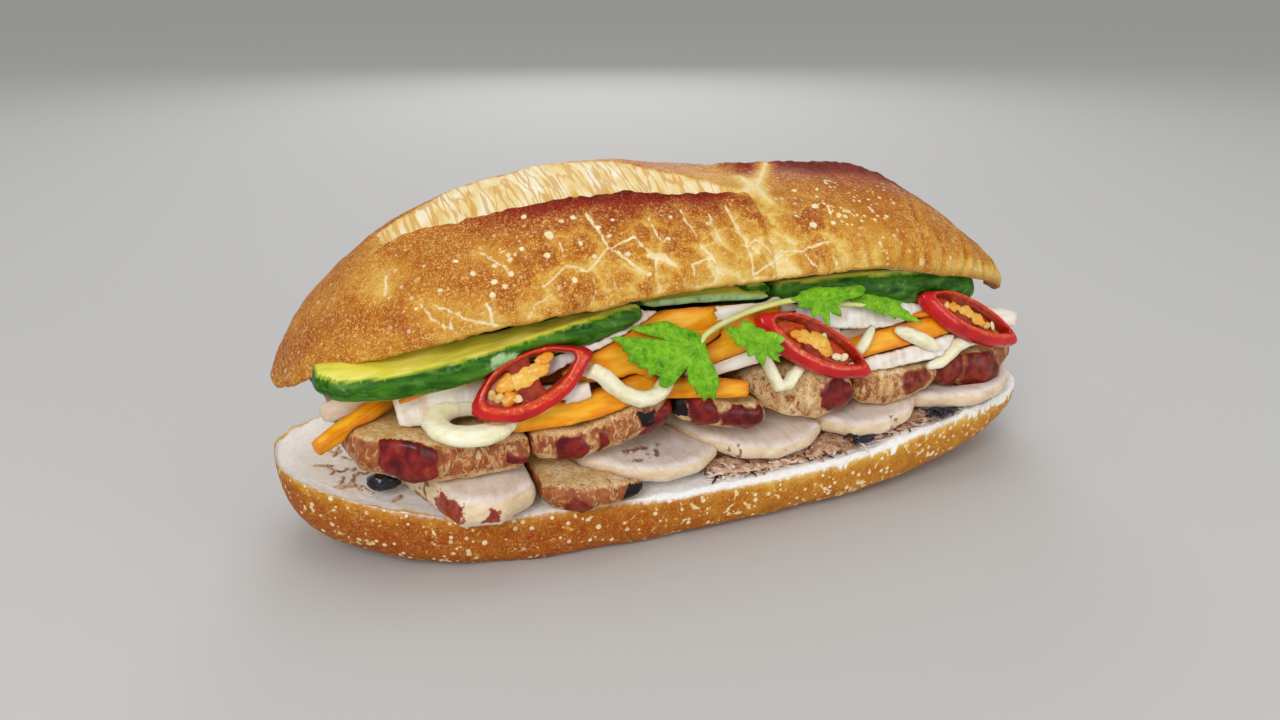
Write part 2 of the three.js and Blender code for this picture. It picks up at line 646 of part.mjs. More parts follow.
add("cucumber_dark", CUCUMBER, slab(
  { back: { y: -6, low: 53, high: 57 }, seed: 17 },
  [1, -27, 61.6, 64], [8, -27.4, 59.8, 64], [13.6, -27, 58.6, 63.4],
));
add("cucumber_back_left", CUCUMBER, slab(
  { back: CUCUMBER_BACK, round: 3, seed: 13, spacing: 20 },
  [-86, 4, 46.4, 50.6], [-60, 3, 47.4, 52], [-36, 4, 47.8, 52.4], [-8, 4, 47.4, 51.6],
));
add("cucumber_back_right", CUCUMBER, slab(
  { back: CUCUMBER_BACK, round: 3, seed: 14, spacing: 20 },
  [-4, 3, 47.6, 52], [20, 2, 48, 52.6], [50, 3, 47.6, 52], [80, 4, 46.4, 50.6],
));

// ---------------------------------------------------------------- carrot and daikon
add("carrot_left", CARROT, strip(
  { width: 3.8, thickness: 3.6, lean: 0.35 },
  [-103.3, -25, 35.8], [-78.6, -15, 45.2],
));
add("carrot_low", CARROT, strip(
  { width: 6.4, thickness: CARROT_THICKNESS, lean: -0.15 },
  [-64, -28.5, 38.2], [-46, -31.2, 38.4], [-32, -31.6, 40.4], [-20, -30, 44],
));
add("carrot_wide", CARROT, strip(
  { width: 13, thickness: CARROT_THICKNESS, lean: -0.2 },
  [-42, -29.5, 42.6], [-26, -30, 49.5], [-9, -29, 57], [2, -25, 59],
));
add("carrot_end", CARROT, strip(
  { width: 4.8, thickness: CARROT_THICKNESS, lean: -0.2 },
  [-26, -30, 41.4], [-10, -33.5, 40.6], [3.4, -35, 39],
));
add("carrot_middle", CARROT, strip(
  { width: 9, thickness: CARROT_THICKNESS, lean: -0.25 },
  [-14, -28, 47.5], [2, -29.5, 51.6], [16, -28, 55],
));
add("carrot_right", CARROT, strip(
  { width: 6, thickness: CARROT_THICKNESS, lean: -0.3 },
  [34, -27, 41.6], [48, -28.4, 44.4], [62, -27.6, 45.4], [78, -24, 46.8],
));
add("carrot_top_right", CARROT, strip(
  { width: 5.6, thickness: CARROT_THICKNESS, lean: -0.3 },
  [56, -24.5, 49], [70, -25.6, 45.6], [84, -25, 40.6], [91, -23, 37.6],
));
add("daikon_left", DAIKON, strip(
  { width: 9.6, thickness: 2.2, lean: -0.35 },
  [-84, -24.4, 41.4], [-76, -26, 43.2], [-66, -26, 45.2], [-54, -25, 48.4],
));
add("daikon_up", DAIKON, strip(
  { width: 5.4, thickness: DAIKON_THICKNESS, lean: -0.3 },
  [-50, -28, 49], [-38, -30, 55.6], [-24, -28.6, 58.8], [-14, -26, 60],
));
add("daikon_end", DAIKON, strip(
  { width: 4.4, thickness: 3.6, lean: -0.2 },
  [-52, -28.5, 43], [-44, -32, 43.4], [-38.6, -34, 44.6],
));
add("daikon_top", DAIKON, strip(
  { width: 4.4, thickness: 3, lean: -0.25 },
  [-24, -28.6, 57.6], [-7, -28.8, 58.4], [10, -28.4, 58.2], [24, -26, 57],
));
add("daikon_middle", DAIKON, strip(
  { width: 5.4, thickness: DAIKON_THICKNESS, lean: -0.3 },
  [-12, -29, 43], [4, -31.4, 46.4], [20, -30.6, 48.6], [34, -27, 50],
));
add("daikon_wide", DAIKON, strip(
  { width: 9, thickness: DAIKON_THICKNESS, lean: -0.35 },
  [8, -27, 54.4], [24, -28.6, 55], [44, -27.6, 52.6], [62, -25, 50.6],
));
add("daikon_low", DAIKON, strip(
  { width: 6, thickness: DAIKON_THICKNESS, lean: -0.45 },
  [36, -29, 38.6], [52, -30.4, 40], [70, -29.4, 40.8], [88, -24, 41.4],
));
add("daikon_right", DAIKON, strip(
  { width: 5, thickness: DAIKON_THICKNESS, lean: -0.3, count: 4 },
  [80, -12, 43.6], [92, -17.5, 43], [101, -18.4, 40.6],
));
add("carrot_back", CARROT, strip(
  { width: 3.2, thickness: 3.6, lean: 0.1 },
  [-56, 30, 39.6], [-30, 32.4, 39.4], [-4, 31, 39.8],
));
add("daikon_back", DAIKON, strip(
  { width: 3, thickness: 3, lean: 0.1 },
  [6, 31, 39.6], [34, 32.6, 39.4], [62, 29, 39.6],
));

// ---------------------------------------------------------------- minced layer and inner pickles
add("pate", PATE, pateLayer());
add("pickle_pile", CARROT, slab(
  { back: { y: 28, low: 38.4, high: 40.8 }, round: 4, seed: 16, spacing: 22 },
  [-72, -8, 40.6, 45.4], [-62, -14, 40.6, 46.4], [-44, -20, 40.4, 49], [-26, -22, 41.8, 53.6],
  [-10, -22.4, 42.4, 55.6], [20, -22.4, 43, 55], [40, -22, 40.8, 52.4], [64, -19, 39.8, 49],
  [82, -12, 39, 46], [92, -6, 38.6, 43],
));

export default root;
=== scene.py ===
"""Banh mi sandwich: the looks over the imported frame.

Sizes are in millimetres until a mesh is made. +X runs along the roll, -Y is its open front, +Z is up.
"""

import math
from itertools import product

import bpy
import numpy as np
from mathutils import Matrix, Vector


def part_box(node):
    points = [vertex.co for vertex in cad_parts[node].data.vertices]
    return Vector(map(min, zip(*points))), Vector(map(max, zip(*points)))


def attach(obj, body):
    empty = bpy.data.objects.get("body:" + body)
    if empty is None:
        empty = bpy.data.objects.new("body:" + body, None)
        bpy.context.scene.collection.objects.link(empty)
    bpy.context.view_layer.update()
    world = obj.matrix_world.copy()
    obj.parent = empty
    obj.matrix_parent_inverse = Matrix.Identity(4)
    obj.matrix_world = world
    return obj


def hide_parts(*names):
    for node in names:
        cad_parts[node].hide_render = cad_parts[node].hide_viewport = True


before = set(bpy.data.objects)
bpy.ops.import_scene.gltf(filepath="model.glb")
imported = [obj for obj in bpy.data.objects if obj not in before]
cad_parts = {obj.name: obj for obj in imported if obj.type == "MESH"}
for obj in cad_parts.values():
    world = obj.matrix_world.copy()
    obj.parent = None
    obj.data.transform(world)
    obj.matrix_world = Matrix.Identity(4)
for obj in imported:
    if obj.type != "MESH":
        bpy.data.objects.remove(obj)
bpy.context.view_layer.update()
scene = bpy.context.scene
MM = 0.001


# ---------------------------------------------------------------- number helpers
def smooth(low, high, value):
    """0 below low and 1 above high, with an even curve between."""
    t = np.clip((value - low) / (high - low), 0, 1)
    return t * t * (3 - 2 * t)


def near(distance, width):
    """1 at no distance, falling away over about that width."""
    return np.exp(-((distance / width) ** 2))


def mix(a, b, share):
    return a + (b - a) * share


def track(*pairs):
    """A smooth curve through (position, value) pairs."""
    x, v = np.array(pairs, float).T
    last = len(x) - 1
    after = np.minimum(np.arange(last + 1) + 1, last)
    before = np.maximum(np.arange(last + 1) - 1, 0)
    slope = (v[after] - v[before]) / (x[after] - x[before])

    def at(q):
        q = np.clip(q, x[0], x[last])
        i = np.clip(np.searchsorted(x, q, side="right") - 1, 0, last - 1)
        h = x[i + 1] - x[i]
        t = (q - x[i]) / h
        start = (1 + 2 * t) * (1 - t) ** 2 * v[i] + t * (1 - t) ** 2 * h * slope[i]
        return start + t * t * (3 - 2 * t) * v[i + 1] + t * t * (t - 1) * h * slope[i + 1]

    return at


def hashed(cells, seed):
    """A repeatable whole number for each whole-number cell."""
    h = cells[..., 0] * 374761393 + cells[..., 1] * 668265263 + cells[..., 2] * 1103515245 + seed * 1274126177
    h = (h ^ (h >> 13)) * 1274126177
    return h ^ (h >> 16)


def chance(cells, seed):
    """A repeatable number from 0 to 1 for each cell."""
    return (hashed(cells, seed) & 0xFFFFFF) / 0xFFFFFF


def direction(cells, seed):
    """Three repeatable numbers from -1 to 1 for each cell."""
    h = hashed(cells, seed)
    return np.stack([(h >> shift) & 1023 for shift in (0, 10, 20)], -1) / 511.5 - 1


def noise(points, size, seed=0, octaves=1):
    """Smooth unevenness from about -1 to 1, with features of that size. size may differ by axis."""
    total, weight_sum = 0, 0
    for octave in range(octaves):
        p = points / np.asarray(size) * 2**octave + 17.31 * octave
        base = np.floor(p).astype(np.int64)
        f = p - base
        s = f * f * f * (f * (f * 6 - 15) + 10)
        for corner in product((0, 1), repeat=3):
            slope = (direction(base + np.array(corner), seed + octave) * (f - corner)).sum(-1)
            total = total + 1.7 / 2**octave * slope * np.prod(np.where(corner, s, 1 - s), axis=-1)
        weight_sum += 1 / 2**octave
    return total / weight_sum


def cells(u, v, size, seed):
    """Distance to the nearest border of a random cell network, and a number for the cell."""
    p = np.stack([u, v, np.zeros_like(u)], -1) / size
    base = np.floor(p).astype(np.int64)
    first = np.full(u.shape, 9.0)
    second = np.full(u.shape, 9.0)
    own = np.zeros(u.shape)
    for du, dv in product((-1, 0, 1), repeat=2):
        cell = base + np.array((du, dv, 0))
        site_u = cell[..., 0] + mix(0.12, 0.88, chance(cell, seed))
        site_v = cell[..., 1] + mix(0.12, 0.88, chance(cell, seed + 1))
        d = np.hypot(p[..., 0] - site_u, p[..., 1] - site_v)
        closer = d < first
        second = np.where(closer, first, np.minimum(second, d))
        own = np.where(closer, chance(cell, seed + 2), own)
        first = np.where(closer, d, first)
    return (second - first) * size / 2, own


def distance_to(path, u, v):
    """Distance in a plane to a line through some points."""
    nearest = np.full(np.broadcast(u, v).shape, 99.0)
    for (u0, v0), (u1, v1) in zip(path, path[1:]):
        du, dv = u1 - u0, v1 - v0
        t = np.clip(((u - u0) * du + (v - v0) * dv) / (du * du + dv * dv), 0, 1)
        nearest = np.minimum(nearest, np.hypot(u - u0 - t * du, v - v0 - t * dv))
    return nearest


def within(outline, u, v):
    """Distance inside a closed outline in a plane, negative outside it."""
    inside = np.zeros(np.broadcast(u, v).shape, bool)
    for (u0, v0), (u1, v1) in zip(outline, outline[1:] + outline[:1]):
        crossed = (v0 > v) != (v1 > v)
        inside ^= crossed & (u < u0 + (v - v0) * (u1 - u0) / (v1 - v0 or 1))
    return np.where(inside, 1, -1) * distance_to(outline + outline[:1], u, v)


def spots(points, places, ragged=0.25, seed=5):
    """How far inside the nearest of the round places (x, y, z, radius) each point is, from 0 to 1."""
    edge = 1 + ragged * noise(points, 3, seed, 2)
    result = np.zeros(points.shape[:-1])
    for x, y, z, radius in places:
        d = np.linalg.norm(points - (x, y, z), axis=-1) / (radius * edge)
        result = np.maximum(result, smooth(1.08, 0.8, d))
    return result


# ---------------------------------------------------------------- mesh helpers
def grid_faces(rows, columns):
    """Quads over a grid of points whose rows close on themselves."""
    index = np.arange(rows * columns).reshape(rows, columns)
    index = np.concatenate([index, index[:, :1]], axis=1)
    quads = [index[:-1, :-1], index[1:, :-1], index[1:, 1:], index[:-1, 1:]]
    return np.stack(quads, -1).reshape(-1, 4)


def grid_normals(points):
    """Outward direction at each point of a grid whose rows go round and columns go along."""
    n = np.cross(np.gradient(points, axis=0), np.gradient(points, axis=1))
    return n / np.maximum(np.linalg.norm(n, axis=-1, keepdims=True), 1e-9)


def faces_inward(points, quads):
    """Whether a surface faces inward, from the sign of the volume within its quads."""
    a, b, c, d = np.moveaxis(points[quads], 1, 0)
    return (np.cross(a, b) * c).sum() + (np.cross(a, c) * d).sum() < 0


def make_object(name, points, faces):
    mesh = bpy.data.meshes.new(name)
    mesh.from_pydata((np.asarray(points) * MM).tolist(), [], faces)
    mesh.shade_smooth()
    obj = bpy.data.objects.new(name, mesh)
    scene.collection.objects.link(obj)
    return obj


def skin(rings):
    """Points and faces of a closed surface over rings of equal counts, each end closed on its middle."""
    count, around = rings.shape[:2]
    points = np.concatenate([rings.reshape(-1, 3), rings[:1].mean(1), rings[-1:].mean(1)])
    quads = grid_faces(count, around)
    if faces_inward(points, quads):
        quads = quads[:, ::-1]
    faces = quads.tolist()
    edge = faces[0][0] + 1 == faces[0][1] or faces[0][0] - 1 == faces[0][3]
    caps = ((0, count * around, edge), ((count - 1) * around, count * around + 1, not edge))
    for first, apex, flip in caps:
        for i in range(around):
            a, b = first + i, first + (i + 1) % around
            faces.append([apex, b, a] if flip else [apex, a, b])
    return points, faces


def loft(name, rings):
    return make_object(name, *skin(rings))


def paint(obj, name, *channels):
    """Stores up to three values from 0 to 1 per vertex, for the material to read.

    The first value of a channel also fills the vertices past its end.
    """
    count = len(obj.data.vertices)
    data = np.zeros((count, 4))
    data[:, 3] = 1
    for k, channel in enumerate(channels):
        flat = np.ravel(channel)
        data[: len(flat), k] = np.clip(flat, 0, 1)
        data[len(flat) :, k] = np.clip(flat[0], 0, 1)
    attribute = obj.data.color_attributes.new(name, "FLOAT_COLOR", "POINT")
    attribute.data.foreach_set("color", data.ravel())


def place(obj, material, slot, *nodes):
    """Gives a finished piece its material and its place in the frame."""
    obj.data.materials.append(material)
    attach(obj, "root")
    if nodes:
        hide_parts(*nodes)
    return obj


def remeshed(node, name, voxel, smoothing):
    """A new object: the CAD solid as an even fine mesh with its facets smoothed away.

    Returns it with its points in millimetres and its outward directions.
    """
    source = bpy.data.objects.new("source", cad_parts[node].data.copy())
    scene.collection.objects.link(source)
    remesh = source.modifiers.new("remesh", "REMESH")
    remesh.mode = "VOXEL"
    remesh.voxel_size = voxel * MM
    relax = source.modifiers.new("relax", "SMOOTH")
    relax.iterations = smoothing
    relax.factor = 0.5
    bpy.context.view_layer.update()
    mesh = bpy.data.meshes.new_from_object(source.evaluated_get(bpy.context.evaluated_depsgraph_get()))
    bpy.data.objects.remove(source)
    mesh.name = name
    mesh.materials.clear()
    mesh.shade_smooth()
    obj = bpy.data.objects.new(name, mesh)
    scene.collection.objects.link(obj)
    points = np.empty(len(mesh.vertices) * 3)
    mesh.vertices.foreach_get("co", points)
    normals = np.empty(len(mesh.vertices) * 3)
    mesh.vertices.foreach_get("normal", normals)
    return obj, points.reshape(-1, 3) / MM, normals.reshape(-1, 3)


def reshape(obj, points):
    obj.data.vertices.foreach_set("co", np.ravel(points * MM))
    obj.data.update()


# ---------------------------------------------------------------- materials
def colour(code):
    """A linear colour from a hexadecimal one."""
    channels = [int(code[i : i + 2], 16) / 255 for i in (1, 3, 5)]
    return (*[c / 12.92 if c <= 0.04045 else ((c + 0.055) / 1.055) ** 2.4 for c in channels], 1)


class Shader:
    """A node material, with textures sized in millimetres over the object's own coordinates."""

    def __init__(self, name, roughness=0.5, subsurface=0.0, coat=0.0, gloss=0.5):
        self.material = bpy.data.materials.new(name)
        self.material.use_nodes = True
        self.tree = self.material.node_tree
        self.surface = self.tree.nodes["Principled BSDF"]
        self.surface.inputs["Roughness"].default_value = roughness
        self.surface.inputs["Specular IOR Level"].default_value = gloss
        self.surface.inputs["Coat Weight"].default_value = coat
        self.surface.inputs["Coat Roughness"].default_value = 0.15
        if subsurface:
            self.surface.inputs["Subsurface Weight"].default_value = subsurface
            self.surface.inputs["Subsurface Radius"].default_value = (1.0, 0.6, 0.35)
            self.surface.inputs["Subsurface Scale"].default_value = 2 * MM
        self.where = self.tree.nodes.new("ShaderNodeTexCoord").outputs["Object"]

    def put(self, socket, value):
        if isinstance(value, bpy.types.NodeSocket):
            self.tree.links.new(value, socket)
        else:
            socket.default_value = value

    def mask(self, attribute):
        """The three painted values of an attribute."""
        node = self.tree.nodes.new("ShaderNodeAttribute")
        node.attribute_name = attribute
        split = self.tree.nodes.new("ShaderNodeSeparateColor")
        self.tree.links.new(node.outputs["Color"], split.inputs[0])
        return [split.outputs[i] for i in range(3)]

    def noise(self, size, detail=2.0, distortion=0.0, stretch=(1, 1, 1)):
        mapping = self.tree.nodes.new("ShaderNodeMapping")
        mapping.inputs["Scale"].default_value = [1 / s for s in stretch]
        self.tree.links.new(self.where, mapping.inputs["Vector"])
        node = self.tree.nodes.new("ShaderNodeTexNoise")
        node.inputs["Scale"].default_value = 1 / (size * MM)
        node.inputs["Detail"].default_value = detail
        node.inputs["Distortion"].default_value = distortion
        self.tree.links.new(mapping.outputs["Vector"], node.inputs["Vector"])
        return node.outputs["Factor" if "Factor" in node.outputs else "Fac"]

    def dots(self, size, largest):
        """Scattered round spots of many sizes, the largest that share of the spacing."""
        node = self.tree.nodes.new("ShaderNodeTexVoronoi")
        node.inputs["Scale"].default_value = 1 / (size * MM)
        self.tree.links.new(self.where, node.inputs["Vector"])
        split = self.tree.nodes.new("ShaderNodeSeparateColor")
        self.tree.links.new(node.outputs["Color"], split.inputs[0])
        radius = self.scaled(split.outputs[0], largest)
        return self.levels(self.plus(radius, node.outputs["Distance"], -1), 0, 0.06)

    def lines(self, value, at, width):
        """Thin winding lines where a value passes a level."""
        off = self.math("ABSOLUTE", self.math("SUBTRACT", value, at), 0)
        return self.levels(off, 0.4 * width, width, 1, 0)

    def math(self, operation, a, b):
        node = self.tree.nodes.new("ShaderNodeMath")
        node.operation = operation
        self.put(node.inputs[0], a)
        self.put(node.inputs[1], b)
        return node.outputs[0]

    def plus(self, a, b, weight=1.0, shift=0.0):
        """a + weight * b + shift."""
        return self.math("ADD", a, self.math("ADD", self.math("MULTIPLY", b, weight), shift))

    def scaled(self, value, factor):
        return self.math("MULTIPLY", value, factor)

    def levels(self, value, low, high, out_low=0.0, out_high=1.0):
        node = self.tree.nodes.new("ShaderNodeMapRange")
        node.interpolation_type = "SMOOTHSTEP"
        self.put(node.inputs["Value"], value)
        ends = {"From Min": low, "From Max": high, "To Min": out_low, "To Max": out_high}
        for name, number in ends.items():
            node.inputs[name].default_value = number
        return node.outputs["Result"]

    def ramp(self, value, *stops):
        node = self.tree.nodes.new("ShaderNodeValToRGB")
        elements = node.color_ramp.elements
        while len(elements) < len(stops):
            elements.new(0.5)
        for element, (position, code) in zip(elements, stops):
            element.position = position
            element.color = colour(code)
        self.put(node.inputs["Fac"], value)
        return node.outputs["Color"]

    def mix(self, share, a, b):
        node = self.tree.nodes.new("ShaderNodeMix")
        node.data_type = "RGBA"
        self.put(node.inputs["Factor"], share)
        for socket, value in ((node.inputs[6], a), (node.inputs[7], b)):
            self.put(socket, colour(value) if isinstance(value, str) else value)
        return node.outputs[2]

    def finish(self, base, roughness=None, relief=None, height=0.1):
        """Connects the colour, and a roughness and a relief texture where given."""
        self.put(self.surface.inputs["Base Color"], base)
        if roughness is not None:
            self.put(self.surface.inputs["Roughness"], roughness)
        if relief is not None:
            bump = self.tree.nodes.new("ShaderNodeBump")
            bump.inputs["Distance"].default_value = height * MM
            bump.inputs["Strength"].default_value = 0.8
            self.put(bump.inputs["Height"], relief)
            self.tree.links.new(bump.outputs["Normal"], self.surface.inputs["Normal"])
        return self.material


def bread_material():
    """Crust, dough and crumb.

    Painted values: "bread" holds how dark it is baked, where bare dough shows and how white its crumb
    is; "skin" holds how blistered it is and where a score opened it.
    """
    s = Shader("bread", gloss=0.06)
    bake, dough, crumb = s.mask("bread")
    blistered, opened, _ = s.mask("skin")
    tone = s.plus(s.plus(bake, s.noise(3.2, 4), 0.24, -0.12), s.noise(0.8, 3, 0.8), 0.26, -0.13)
    crust = s.ramp(
        tone, (0.0, "#f4e0a6"), (0.2, "#dfb557"), (0.38, "#c8862a"), (0.55, "#ad5e18"),
        (0.7, "#9c4216"), (0.86, "#8c2416"), (1.0, "#6c1410"),
    )
    cream = s.ramp(s.noise(1.6, 3), (0.3, "#ecd296"), (0.7, "#faeecd"))

    # Pale flecks, blisters and dots of flour on the baked crust.
    curls = s.lines(s.noise(1.3, 2, 1.8), 0.56, 0.028)
    specks = s.levels(s.noise(0.7, 2, 1.0), 0.59, 0.65)
    fleck = s.math("MULTIPLY", s.math("MAXIMUM", curls, specks), s.levels(blistered, 0.4, 0.65, 1, 0.4))
    crust = s.mix(s.math("MULTIPLY", fleck, s.levels(tone, 0.6, 0.9, 0.68, 0.12)), crust, "#eec878")
    blister = s.plus(s.noise(2.8, 3, 0.7), blistered, 0.3, -0.3)
    crust = s.mix(s.levels(blister, 0.51, 0.56, 0, 0.75), crust, "#e0a53e")
    crust = s.mix(s.levels(blister, 0.56, 0.6), crust, cream)
    crust = s.mix(s.math("MULTIPLY", s.dots(1.9, 0.4), s.levels(blistered, 0.2, 0.8)), crust, cream)

    # Torn strands in the scores, and bare dough.
    strand = s.lines(s.noise(1.9, 1.5, 0.25, (1, 8, 8)), 0.5, 0.07)
    torn = s.ramp(s.noise(4, 3, 0.4, (1, 3, 3)), (0.3, "#e8c06a"), (0.5, "#f3dda2"), (0.7, "#fcf3da"))
    torn = s.mix(s.scaled(strand, 0.7), torn, "#d79f48")
    crust = s.mix(s.math("MULTIPLY", opened, s.levels(tone, 0.42, 0.3)), crust, torn)
    crust = s.mix(s.levels(s.plus(dough, s.noise(0.9, 3), 0.3, -0.15), 0.62, 0.88), crust, cream)

    # The white crumb of the cut faces.
    pores = s.ramp(s.noise(1.3, 3), (0.3, "#f7efe7"), (0.5, "#fffcf8"), (0.7, "#ffffff"))
    base = s.mix(s.levels(s.plus(crumb, s.noise(1.1, 3), 0.4, -0.2), 0.3, 0.7), crust, pores)
    relief = s.plus(s.noise(0.7, 4), s.levels(blister, 0.53, 0.6), 0.5)
    return s.finish(base, s.levels(crumb, 0, 1, 0.45, 0.85), relief, 0.14)


def roast_material():
    """Painted values: how brown, how glazed and how charred the meat is."""
    s = Shader("roast", subsurface=0.05, gloss=0.25)
    brown, glaze, char = s.mask("mark")
    flesh = s.ramp(
        s.noise(2.6, 5, 0.8, (1, 2.2, 2.2)),
        (0.25, "#c79a62"), (0.42, "#dfb97c"), (0.6, "#ecd0a0"), (0.8, "#f7e6c8"),
    )
    flesh = s.mix(s.scaled(s.lines(s.noise(2.4, 4, 1.2, (1, 0.7, 1)), 0.5, 0.03), 0.6), flesh, "#96602c")
    tan = s.ramp(s.noise(1.1, 4), (0.3, "#a5673a"), (0.7, "#d09a64"))
    flesh = s.mix(s.levels(brown, 0.35, 0.8, 0, 0.6), flesh, tan)

    # A net of browned crust, then the glaze with its red depths, then the charred spots.
    net = s.plus(s.noise(1.3, 5, 1.2, (1, 1, 1.7)), brown, 0.5, -0.35)
    crust = s.ramp(s.noise(2.2, 3), (0.3, "#7a3214"), (0.55, "#a05024"), (0.8, "#bc763a"))
    base = s.mix(s.levels(net, 0.43, 0.6, 0, 0.92), flesh, crust)
    edge = s.plus(glaze, s.noise(2.0, 3), 0.5, -0.25)
    base = s.mix(s.levels(edge, 0.15, 0.5, 0, 0.85), base, "#8a3c1c")
    shine = s.levels(edge, 0.42, 0.62)
    red = s.ramp(
        s.noise(3.4, 3, 0.6),
        (0.3, "#4d0d10"), (0.48, "#74171a"), (0.64, "#932a20"), (0.82, "#b4542e"),
    )
    base = s.mix(shine, base, red)
    burnt = s.plus(char, s.noise(1.5, 4, 1.0), 1.3, -0.65)
    base = s.mix(s.levels(burnt, 0.3, 0.5), base, "#4a1a10")
    base = s.mix(s.levels(burnt, 0.46, 0.6), base, "#120c0c")
    return s.finish(base, s.levels(shine, 0, 1, 0.5, 0.24), s.noise(0.9, 4, 0.8), 0.12)


def white_meat_material():
    """Painted values: beige side, brown marks and red patches."""
    s = Shader("white_meat", roughness=0.5, subsurface=0.12)
    beige, marks, red = s.mask("mark")
    pale = s.ramp(
        s.noise(2.6, 5, 1.0, (1, 2.6, 1)),
        (0.25, "#dcc6b6"), (0.42, "#e8d8cc"), (0.6, "#f0e5dc"), (0.8, "#f7f0e9"),
    )
    side = s.ramp(s.noise(1.6, 4, 0.5, (2, 2, 1)), (0.3, "#dfbd90"), (0.55, "#ebd4b0"), (0.8, "#f4e7d0"))
    base = s.mix(s.levels(beige, 0.1, 0.9), pale, side)
    base = s.mix(s.levels(s.plus(s.noise(0.9, 3), marks, 0.6, -0.3), 0.35, 0.7, 0, 0.9), base, "#8c4a28")
    patch = s.ramp(s.noise(1.6, 3), (0.35, "#7d1a14"), (0.7, "#b5482c"))
    base = s.mix(s.levels(s.plus(s.noise(1.4, 3), red, 0.6, -0.3), 0.4, 0.58), base, patch)
    return s.finish(base, s.levels(red, 0, 1, 0.5, 0.2), s.noise(1.0, 4, 0.8), 0.12)


def cucumber_material():
    """Painted values: skin, pale patches and painted highlights on it, and stripes along it."""
    s = Shader("cucumber", roughness=0.3, subsurface=0.08, gloss=0.2)
    skin, pale, stripes = s.mask("mark")
    flesh = s.ramp(
        s.noise(3.5, 4, 0.6, (3, 1, 1)),
        (0.25, "#cfca34"), (0.45, "#e2da46"), (0.62, "#f0e668"), (0.85, "#f8f4a8"),
    )
    green = s.ramp(s.noise(1.6, 4, 0.6, (3, 1, 1)), (0.3, "#143f03"), (0.5, "#286007"), (0.75, "#4e8812"))
    green = s.mix(s.scaled(stripes, 0.35), green, "#6fa838")
    # Pale skin where painted, and painted highlights where the highlight patches are.
    green = s.mix(s.levels(s.plus(s.noise(2.2, 3), pale, 0.5, -0.25), 0.3, 0.85, 0, 0.85), green, "#b4d69a")
    edge = s.ramp(skin, (0.0, "#000000"), (0.35, "#ffffff"), (0.7, "#000000"))
    base = s.mix(skin, flesh, green)
    base = s.mix(s.scaled(edge, 0.75), base, "#86b830")
    return s.finish(base, s.levels(skin, 0, 1, 0.22, 0.38), s.noise(1.4, 4, 0.4), 0.08)


def pickle_material(name, stops, rim, subsurface):
    """A vegetable strip: grain along it, and a darker tint on its edges."""
    s = Shader(name, roughness=0.34, subsurface=subsurface, gloss=0.24)
    edge, tone, _ = s.mask("mark")
    base = s.ramp(s.plus(s.noise(2.0, 4, 0.5, (4, 1, 1)), tone, 0.5, -0.25), *stops)
    base = s.mix(s.levels(edge, 0.1, 0.7, 0, 0.55), base, rim)
    return s.finish(base, None, s.noise(1.0, 3, 0.3, (4, 1, 1)), 0.08)


def toned_material(name, grain, share, stops, relief, height, **look):
    """A colour range: an uneven grain, shifted by a painted tone."""
    s = Shader(name, **look)
    tone, _, _ = s.mask("mark")
    base = s.ramp(s.plus(s.noise(*grain), tone, share, -share / 2), *stops)
    return s.finish(base, None, s.noise(*relief), height)


def chili_material():
    """Painted values: cut rim, dark inner wall and the recessed web; the rest is skin."""
    s = Shader("chili", roughness=0.16, subsurface=0.05, coat=0.15, gloss=0.35)
    rim, inner, web = s.mask("mark")
    base = s.ramp(s.noise(6, 2), (0.3, "#b40a10"), (0.6, "#d0151a"), (0.85, "#dd2a24"))
    cut = s.ramp(s.noise(1.0, 3, 0.8), (0.3, "#cc2a18"), (0.55, "#df4a26"), (0.75, "#ef9a4c"))
    base = s.mix(s.levels(rim, 0.3, 0.8), base, cut)
    base = s.mix(s.levels(inner, 0.2, 0.8), base, s.ramp(s.noise(1.4, 3), (0.3, "#8a120c"), (0.7, "#c0331c")))
    base = s.mix(s.levels(web, 0.4, 0.8), base, s.ramp(s.noise(2, 3), (0.3, "#7c1608"), (0.7, "#b03c14")))
    return s.finish(base, s.plus(s.levels(rim, 0, 1, 0.14, 0.3), web, 0.4), s.noise(2.5, 2, 0.4), 0.04)


def chili_flesh_material():
    """Painted value: from dark red membrane to yellow flesh."""
    s = Shader("chili_flesh", roughness=0.3, subsurface=0.1)
    tone, _, _ = s.mask("mark")
    base = s.ramp(
        s.plus(tone, s.noise(1.5, 3, 0.6), 0.5, -0.25),
        (0.05, "#a01a0c"), (0.3, "#cc4a1c"), (0.5, "#e67a1c"), (0.7, "#f3a326"), (0.95, "#f9cf5e"),
    )
    return s.finish(base, None, s.noise(1.2, 3, 0.4), 0.06)


def herb_material():
    """Painted values: veins, tone and the leaf's thin edge."""
    s = Shader("herb", roughness=0.5, subsurface=0.06, gloss=0.18)
    vein, tone, edge = s.mask("mark")
    base = s.ramp(
        s.plus(s.noise(1.6, 4, 1.0), tone, 0.6, -0.3),
        (0.2, "#3f7e08"), (0.45, "#68ab12"), (0.65, "#86c020"), (0.85, "#abd446"),
    )
    base = s.mix(s.scaled(vein, 0.35), base, "#a2cc48")
    base = s.mix(s.scaled(edge, 0.35), base, "#3b7a24")
    return s.finish(base, None, s.noise(0.8, 3), 0.06)


